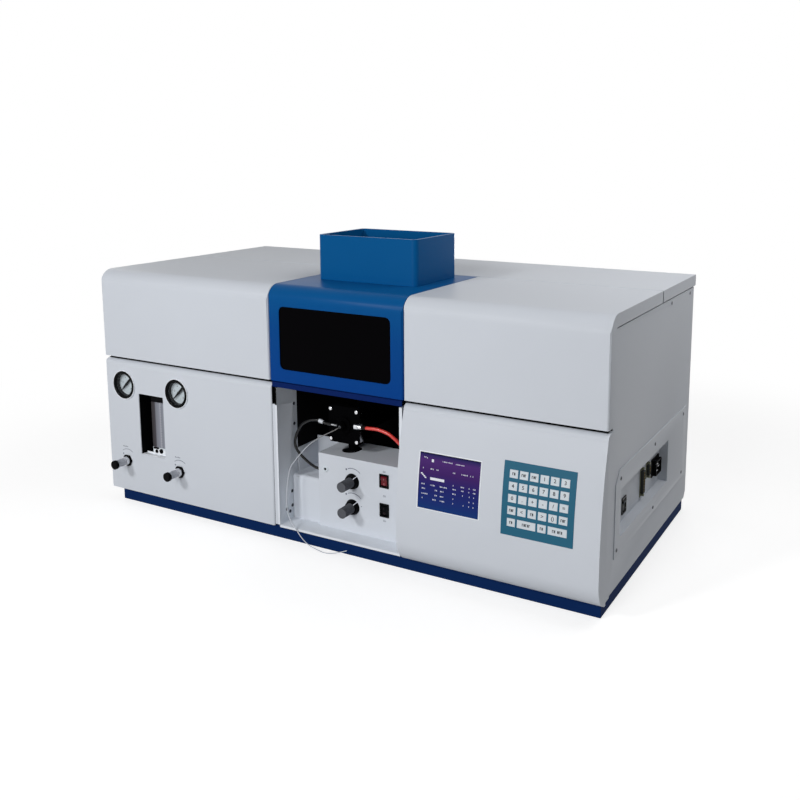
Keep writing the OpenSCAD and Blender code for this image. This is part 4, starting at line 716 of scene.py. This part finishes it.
for side, z in ROCKERS.items():
    hold = Matrix.Translation(at(ROCKER_X, SHELF_Y, z))
    piece(side + "_marks", rocker_marks(hold, 1.5, 8.9), side + "_switch", "white_enamel",
          ROSE_INK if side == "ignition" else FAINT_INK)
hold = Matrix.Translation(at(*MAINS_AT)) @ Matrix.Rotation(pi / 2, 4, "Z")
piece("mains_marks", rocker_marks(hold, 1.8, 10.4), "mains_switch", "white_enamel", FAINT_INK)


# Control panel: screen and keypad on its bulge

BULGE_R, BULGE_Y, BULGE_Z = 700.0, 674.0, 88.0
SCREEN_X, SCREEN_Z, SCREEN_W, SCREEN_H = 261.5, 175.0, 107.0, 89.0
PAD_X0, PAD_Z0, PAD_W, PAD_H = 353.5, 117.0, 116.0, 112.0
FRAME_W, FRAME_H_SHARE = 1.5, 0.99
KEY_W, KEY_H, KEY_SIDE, KEY_TOP = 13.2, 12.0, 10.2, 12.4
KEY_PX = (PAD_W - 2 * KEY_SIDE - KEY_W) / 5
KEY_PZ = (PAD_H - 2 * KEY_TOP - 2 - KEY_H) / 4
KEY_FACE_R = BULGE_R + 0.57
KEY_FACE_OUT, KEY_FIGURE_H = 1.02, 5.6
SCREEN_MARK = (0.66, 0.82)                  # along the screen's own Y, just in front of its glass
KEY_ROWS = (
    ("==", "===", "===", "1", "2", "3"),
    ("4", "5", "6", "7", "8", "9"),
    ("0", ".", "+", "-", "/", "="),
    ("===", "<", "==", ">", "()", "==="),
)
KEY_LAST = ((0, 1, "=="), (1, 2, "====="), (3, 1, "=="), (4, 2, "== ==="))      # column, width, words

# Words on the screen, as the height down the screen, then places across it with each word's length
SCREEN_ROWS = (
    (0.28, ((0.06, 1), (0.19, 3), (0.29, 1), (0.31, 1), (0.56, 2), (0.7, 5), (0.84, 1), (0.88, 1))),
    (0.5, ((0.57, 1), (0.7, 3), (0.83, 1), (0.9, 2))),
    (0.565, ((0.05, 3), (0.2, 4), (0.36, 6), (0.57, 3), (0.71, 2), (0.83, 1), (0.9, 2))),
    (0.645, ((0.06, 3), (0.28, 2), (0.37, 3), (0.57, 3), (0.73, 1), (0.84, 1), (0.91, 1))),
    (0.735, ((0.06, 5), (0.28, 2), (0.37, 3), (0.58, 1), (0.84, 1), (0.91, 1))),
    (0.815, ((0.07, 1), (0.25, 3), (0.37, 4), (0.58, 1), (0.75, 1), (0.84, 1), (0.91, 1))),
)


def on_panel(x, z, out=0.0):
    """The place of something flat that sits on the panel's bulge, out millimetres in front of it."""
    y = BULGE_Y - sqrt(BULGE_R ** 2 - (z - BULGE_Z) ** 2)
    turn = Matrix.Rotation(-asin((z - BULGE_Z) / BULGE_R), 4, "X")
    return Matrix.Translation(at(x, y, z)) @ turn @ Matrix.Translation((0, -out / 1000, 0))


def screen_marks():
    """Rows of small unreadable marks, a cursor and a highlighted bar."""
    work = bmesh.new()
    place = on_panel(SCREEN_X, SCREEN_Z)

    def mark(u, v, wide, high):
        x, z = (u - 0.5) * SCREEN_W, (0.5 - v) * SCREEN_H
        add_block(work, (x, SCREEN_MARK[0], z - high / 2), (x + wide, SCREEN_MARK[1], z + high / 2), place)

    def word(u, v, count, high=1.9):
        for k in range(count):
            tall = high if (k * 7 + count) % 4 else high * 0.6
            mark(u + k * 0.021, v, 0.9 if (k + count) % 3 else 1.4, tall)

    word(0.07, 0.085, 2)
    word(0.12, 0.095, 1)
    mark(0.2, 0.13, 3.6, 4.6)
    word(0.38, 0.115, 8, 1.7)
    word(0.6, 0.12, 7, 1.7)
    mark(0.19, 0.45, 25, 4.2)
    for k in range(4):
        mark(0.03 + 0.022 * k, 0.38 + 0.022 * k, 3.0, 2.0)
    for v, row in SCREEN_ROWS:
        for u, n in row:
            word(u, v, n)
    return work


def add_bulged(work, x0, x1, z0, z1, low, high):
    """A thin block that follows the panel's bulge, from low to high millimetres out of its face."""
    part = bmesh.new()
    start, end = (asin((z - BULGE_Z) / BULGE_R) for z in (z0, z1))
    near, far = BULGE_R + low, BULGE_R + high
    ring = [part.verts.new((x / 1000, -r * cos(start) / 1000, r * sin(start) / 1000))
            for x, r in ((x0, near), (x1, near), (x1, far), (x0, far))]
    edges = [part.edges.new((p, q)) for p, q in zip(ring, ring[1:] + ring[:1])]
    bmesh.ops.spin(part, geom=ring + edges + [part.faces.new(ring)], cent=(0, 0, 0), axis=(-1, 0, 0),
                   angle=end - start, steps=max(1, round((z1 - z0) / 4)))
    join(work, part, Matrix.Translation(at(0, BULGE_Y, BULGE_Z)))


def screen_frame():
    """A thin edge around the screen, on the panel's bulge, whiter than the panel as a painted highlight."""
    work = bmesh.new()
    left, right = SCREEN_X - SCREEN_W / 2, SCREEN_X + SCREEN_W / 2
    tall = SCREEN_H * FRAME_H_SHARE
    low, high = SCREEN_Z - tall / 2, SCREEN_Z + tall / 2
    for x0, x1, z0, z1 in ((left - FRAME_W, left, low - FRAME_W, high + FRAME_W),
                           (right, right + FRAME_W, low - FRAME_W, high + FRAME_W),
                           (left, right, low - FRAME_W, low),
                           (left, right, high, high + FRAME_W)):
        add_bulged(work, x0, x1, z0, z1, -0.4, 0.3)
    return work


def key_marks():
    """Plain figures on the number keys, and unreadable words on the others."""
    work = bmesh.new()
    keys = [(c, 1, r, words) for r, row in enumerate(KEY_ROWS) for c, words in enumerate(row)]
    keys += [(c, wide, 4, words) for c, wide, words in KEY_LAST]
    for c, wide, r, words in keys:
        x = PAD_X0 + KEY_SIDE + c * KEY_PX + (KEY_W + (wide - 1) * KEY_PX) / 2
        z = PAD_Z0 + PAD_H - KEY_TOP - KEY_H / 2 - r * KEY_PZ
        place = on_panel(x, z, KEY_FACE_OUT)
        if "==" in words:
            for k, sign in enumerate(words):
                if sign == "=":
                    left = (k - len(words) / 2) * 2.7 + 0.2
                    add_block(work, (left, -0.02, -2.1), (left + 0.95, 0.12, 2.1), place)
                    drop = k % 2 * 1.6
                    add_block(work, (left, -0.02, 1.2 - drop), (left + 2.1, 0.12, 2.1 - drop), place)
                    if k % 2:
                        add_block(work, (left + 1.3, -0.02, -2.1), (left + 2.2, 0.12, 2.1), place)
        else:
            add_letters(work, words, KEY_FIGURE_H, place, 0.09)
    return work


refine("keypad", width=0.00015, segments=1,
       paint=[(lambda x, y, z: hypot(y - BULGE_Y, z - BULGE_Z) > KEY_FACE_R, KEY)])
refine("display", width=0.0002)
piece("screen_marks", screen_marks(), CABINET, "dial_white", WHITE_INK)
piece("screen_frame", screen_frame(), CABINET, "white_enamel", HIGHLIGHT_WHITE)
piece("key_marks", key_marks(), CABINET, "black_plastic", DARK_INK)


# Side pocket: two ports, as place along Y, middle height, length and pins in the longer row

PORTS = ((230.0, 140.0, 53.0, 13), (264.0, 150.0, 31.0, 5))
BLADES = (136.0, 142.0, 148.0)
PIN_PITCH = 2.76


def on_post(x, y, z):
    """The threaded posts at both ends of a port."""
    return x > 494.2 and any(abs(y - port_y) < 3.2 and high / 2 - 6.6 < abs(z - port_z) < high / 2
                             for port_y, port_z, high, count in PORTS)


def on_blade(x, y, z):
    """The three blades of the mains inlet."""
    return 303 < y < 319 and x < 500.4 and min(abs(z - b) for b in BLADES) < 1


refine("side_connectors", width=0.0003, paint=[
    (lambda x, y, z: x < 494.35, OLIVE),
    (on_post, OLIVE),
    (lambda x, y, z: 497.4 < x < 498.3 and y < 270, BLACK),
    (lambda x, y, z: y > 289, BLACK),
    (on_blade, CHROME),
])
refine("switch_cases", width=0.0003)

work = bmesh.new()
for y, z, high, count in PORTS:
    for row, n in ((-1.4, count), (1.4, count - 1)):
        for k in range(n):
            pin_z = z + (k - (n - 1) / 2) * PIN_PITCH
            add_rod(work, (497.4, y + row, pin_z), (499.6, y + row, pin_z), 0.5, 0.35, sides=8)
piece("port_pins", work, CABINET, "valve_brass", BRASS)


# Lamps: their bases, and the electrodes seen through the glass

TURRET_Y, TURRET_Z, LAMP_CIRCLE = 174, 379, 44
ELECTRODE = ((-300, -262, 7.5), (-262, -250, 10.5), (-250, -240, 4.5))      # start, end and radius

refine("cathode_lamps", width=0, paint=[(lambda x, y, z: x < -301.8, BLACK)])
work = bmesh.new()
for i in range(4):
    turn = (Matrix.Translation(at(0, TURRET_Y, TURRET_Z)) @ Matrix.Rotation(radians(90 * i), 4, "X")
            @ Matrix.Translation((0, 0, -LAMP_CIRCLE / 1000)))
    for start, end, r in ELECTRODE:
        part = bmesh.new()
        bmesh.ops.create_cone(part, cap_ends=True, segments=32, radius1=r / 1000, radius2=r / 1000,
                              depth=(end - start) / 1000)
        middle = Matrix.Translation(((start + end) / 2000, 0, 0))
        join(work, part, turn @ middle @ Matrix.Rotation(pi / 2, 4, "Y"))
piece("lamp_electrodes", work, "turret", "bright_steel", ZINC)


# Studio

FLOOR_HALF, FLOOR_GLOW = 12, 0.7
FADE_FROM, FADE_TO = 0.7, 1.5       # metres from the origin, over which the floor turns white
WORLD_GLOW = 0.04

# Name, place, aim, size and power
LIGHTS = (
    ("key", (-1.0, -2.8, 1.85), (0, 0, 0.3), (0.45, 0.45), 36),
    ("front", (0.25, -2.9, 1.5), (0.2, 0, 0.35), (0.5, 1.0), 9),
    ("low_front", (0.05, -3.0, 0.9), (0.1, 0, 0.35), (0.8, 0.8), 26),
    ("right", (0.95, 0.25, 1.35), (0.35, 0, 0.4), (1.0, 1.0), 7.7),
    ("left", (-1.9, 0.5, 0.9), (-0.4, 0, 0.3), (0.8, 0.8), 4.5),
    ("back", (-0.5, 2.4, 0.32), (0, 0, 0.25), (0.9, 0.4), 15),
)

def seen_ray(tree):
    """1 for what the camera, a reflection or clear glass sees of the backdrop."""
    path = tree.nodes.new("ShaderNodeLightPath")
    first = tree.nodes.new("ShaderNodeMath")
    first.operation = "MAXIMUM"
    tree.links.new(path.outputs["Is Camera Ray"], first.inputs[0])
    tree.links.new(path.outputs["Is Transmission Ray"], first.inputs[1])
    second = tree.nodes.new("ShaderNodeMath")
    second.operation = "MAXIMUM"
    tree.links.new(first.outputs["Value"], second.inputs[0])
    tree.links.new(path.outputs["Is Glossy Ray"], second.inputs[1])
    return second.outputs["Value"]


def add_floor():
    """A white floor that keeps the object's shadow and fades into the white backdrop."""
    work = bmesh.new()
    bmesh.ops.create_grid(work, x_segments=1, y_segments=1, size=FLOOR_HALF)
    mesh = bpy.data.meshes.new("floor")
    work.to_mesh(mesh)
    work.free()
    floor = bpy.data.objects.new("floor", mesh)
    bpy.context.scene.collection.objects.link(floor)
    material = bpy.data.materials.new("pale_floor")
    material.use_nodes = True
    tree = material.node_tree
    shader = tree.nodes["Principled BSDF"]
    shader.inputs["Base Color"].default_value = (0.5, 0.5, 0.5, 1)
    shader.inputs["Roughness"].default_value = 0.9
    shader.inputs["Specular IOR Level"].default_value = 0.1
    seen = seen_ray(tree)
    lift = tree.nodes.new("ShaderNodeMath")
    lift.operation = "MULTIPLY"
    lift.inputs[1].default_value = FLOOR_GLOW
    tree.links.new(seen, lift.inputs[0])
    glow = tree.nodes.new("ShaderNodeEmission")
    tree.links.new(lift.outputs["Value"], glow.inputs["Strength"])
    lit = tree.nodes.new("ShaderNodeAddShader")
    tree.links.new(shader.outputs["BSDF"], lit.inputs[0])
    tree.links.new(glow.outputs["Emission"], lit.inputs[1])
    place = tree.nodes.new("ShaderNodeTexCoord")
    reach = tree.nodes.new("ShaderNodeVectorMath")
    reach.operation = "LENGTH"
    tree.links.new(place.outputs["Object"], reach.inputs[0])
    fade = tree.nodes.new("ShaderNodeMapRange")
    fade.interpolation_type = "SMOOTHSTEP"
    fade.inputs["From Min"].default_value = FADE_FROM
    fade.inputs["From Max"].default_value = FADE_TO
    tree.links.new(reach.outputs["Value"], fade.inputs["Value"])
    share = tree.nodes.new("ShaderNodeMath")
    share.operation = "MULTIPLY"
    tree.links.new(fade.outputs["Result"], share.inputs[0])
    tree.links.new(seen, share.inputs[1])
    white = tree.nodes.new("ShaderNodeEmission")
    white.inputs["Strength"].default_value = 1
    blend = tree.nodes.new("ShaderNodeMixShader")
    tree.links.new(share.outputs["Value"], blend.inputs["Fac"])
    tree.links.new(lit.outputs["Shader"], blend.inputs[1])
    tree.links.new(white.outputs["Emission"], blend.inputs[2])
    tree.links.new(blend.outputs["Shader"], tree.nodes["Material Output"].inputs["Surface"])
    mesh.materials.append(material)


def add_light(name, place, aim, size, power):
    data = bpy.data.lights.new(name, "AREA")
    data.shape = "RECTANGLE"
    data.size, data.size_y = size
    data.energy = power
    lamp = bpy.data.objects.new(name, data)
    bpy.context.scene.collection.objects.link(lamp)
    turn = (Vector(aim) - Vector(place)).to_track_quat("-Z", "Y").to_matrix().to_4x4()
    lamp.matrix_world = Matrix.Translation(place) @ turn


def light_world():
    world = bpy.data.worlds.new("studio")
    world.use_nodes = True
    bpy.context.scene.world = world
    tree = world.node_tree
    background = tree.nodes["Background"]
    strength = tree.nodes.new("ShaderNodeMapRange")
    strength.inputs["To Min"].default_value = WORLD_GLOW
    strength.inputs["To Max"].default_value = 1.0
    tree.links.new(seen_ray(tree), strength.inputs["Value"])
    tree.links.new(strength.outputs["Result"], background.inputs["Strength"])
    background.inputs["Color"].default_value = (1, 1, 1, 1)


add_floor()
light_world()
for light in LIGHTS:
    add_light(*light)
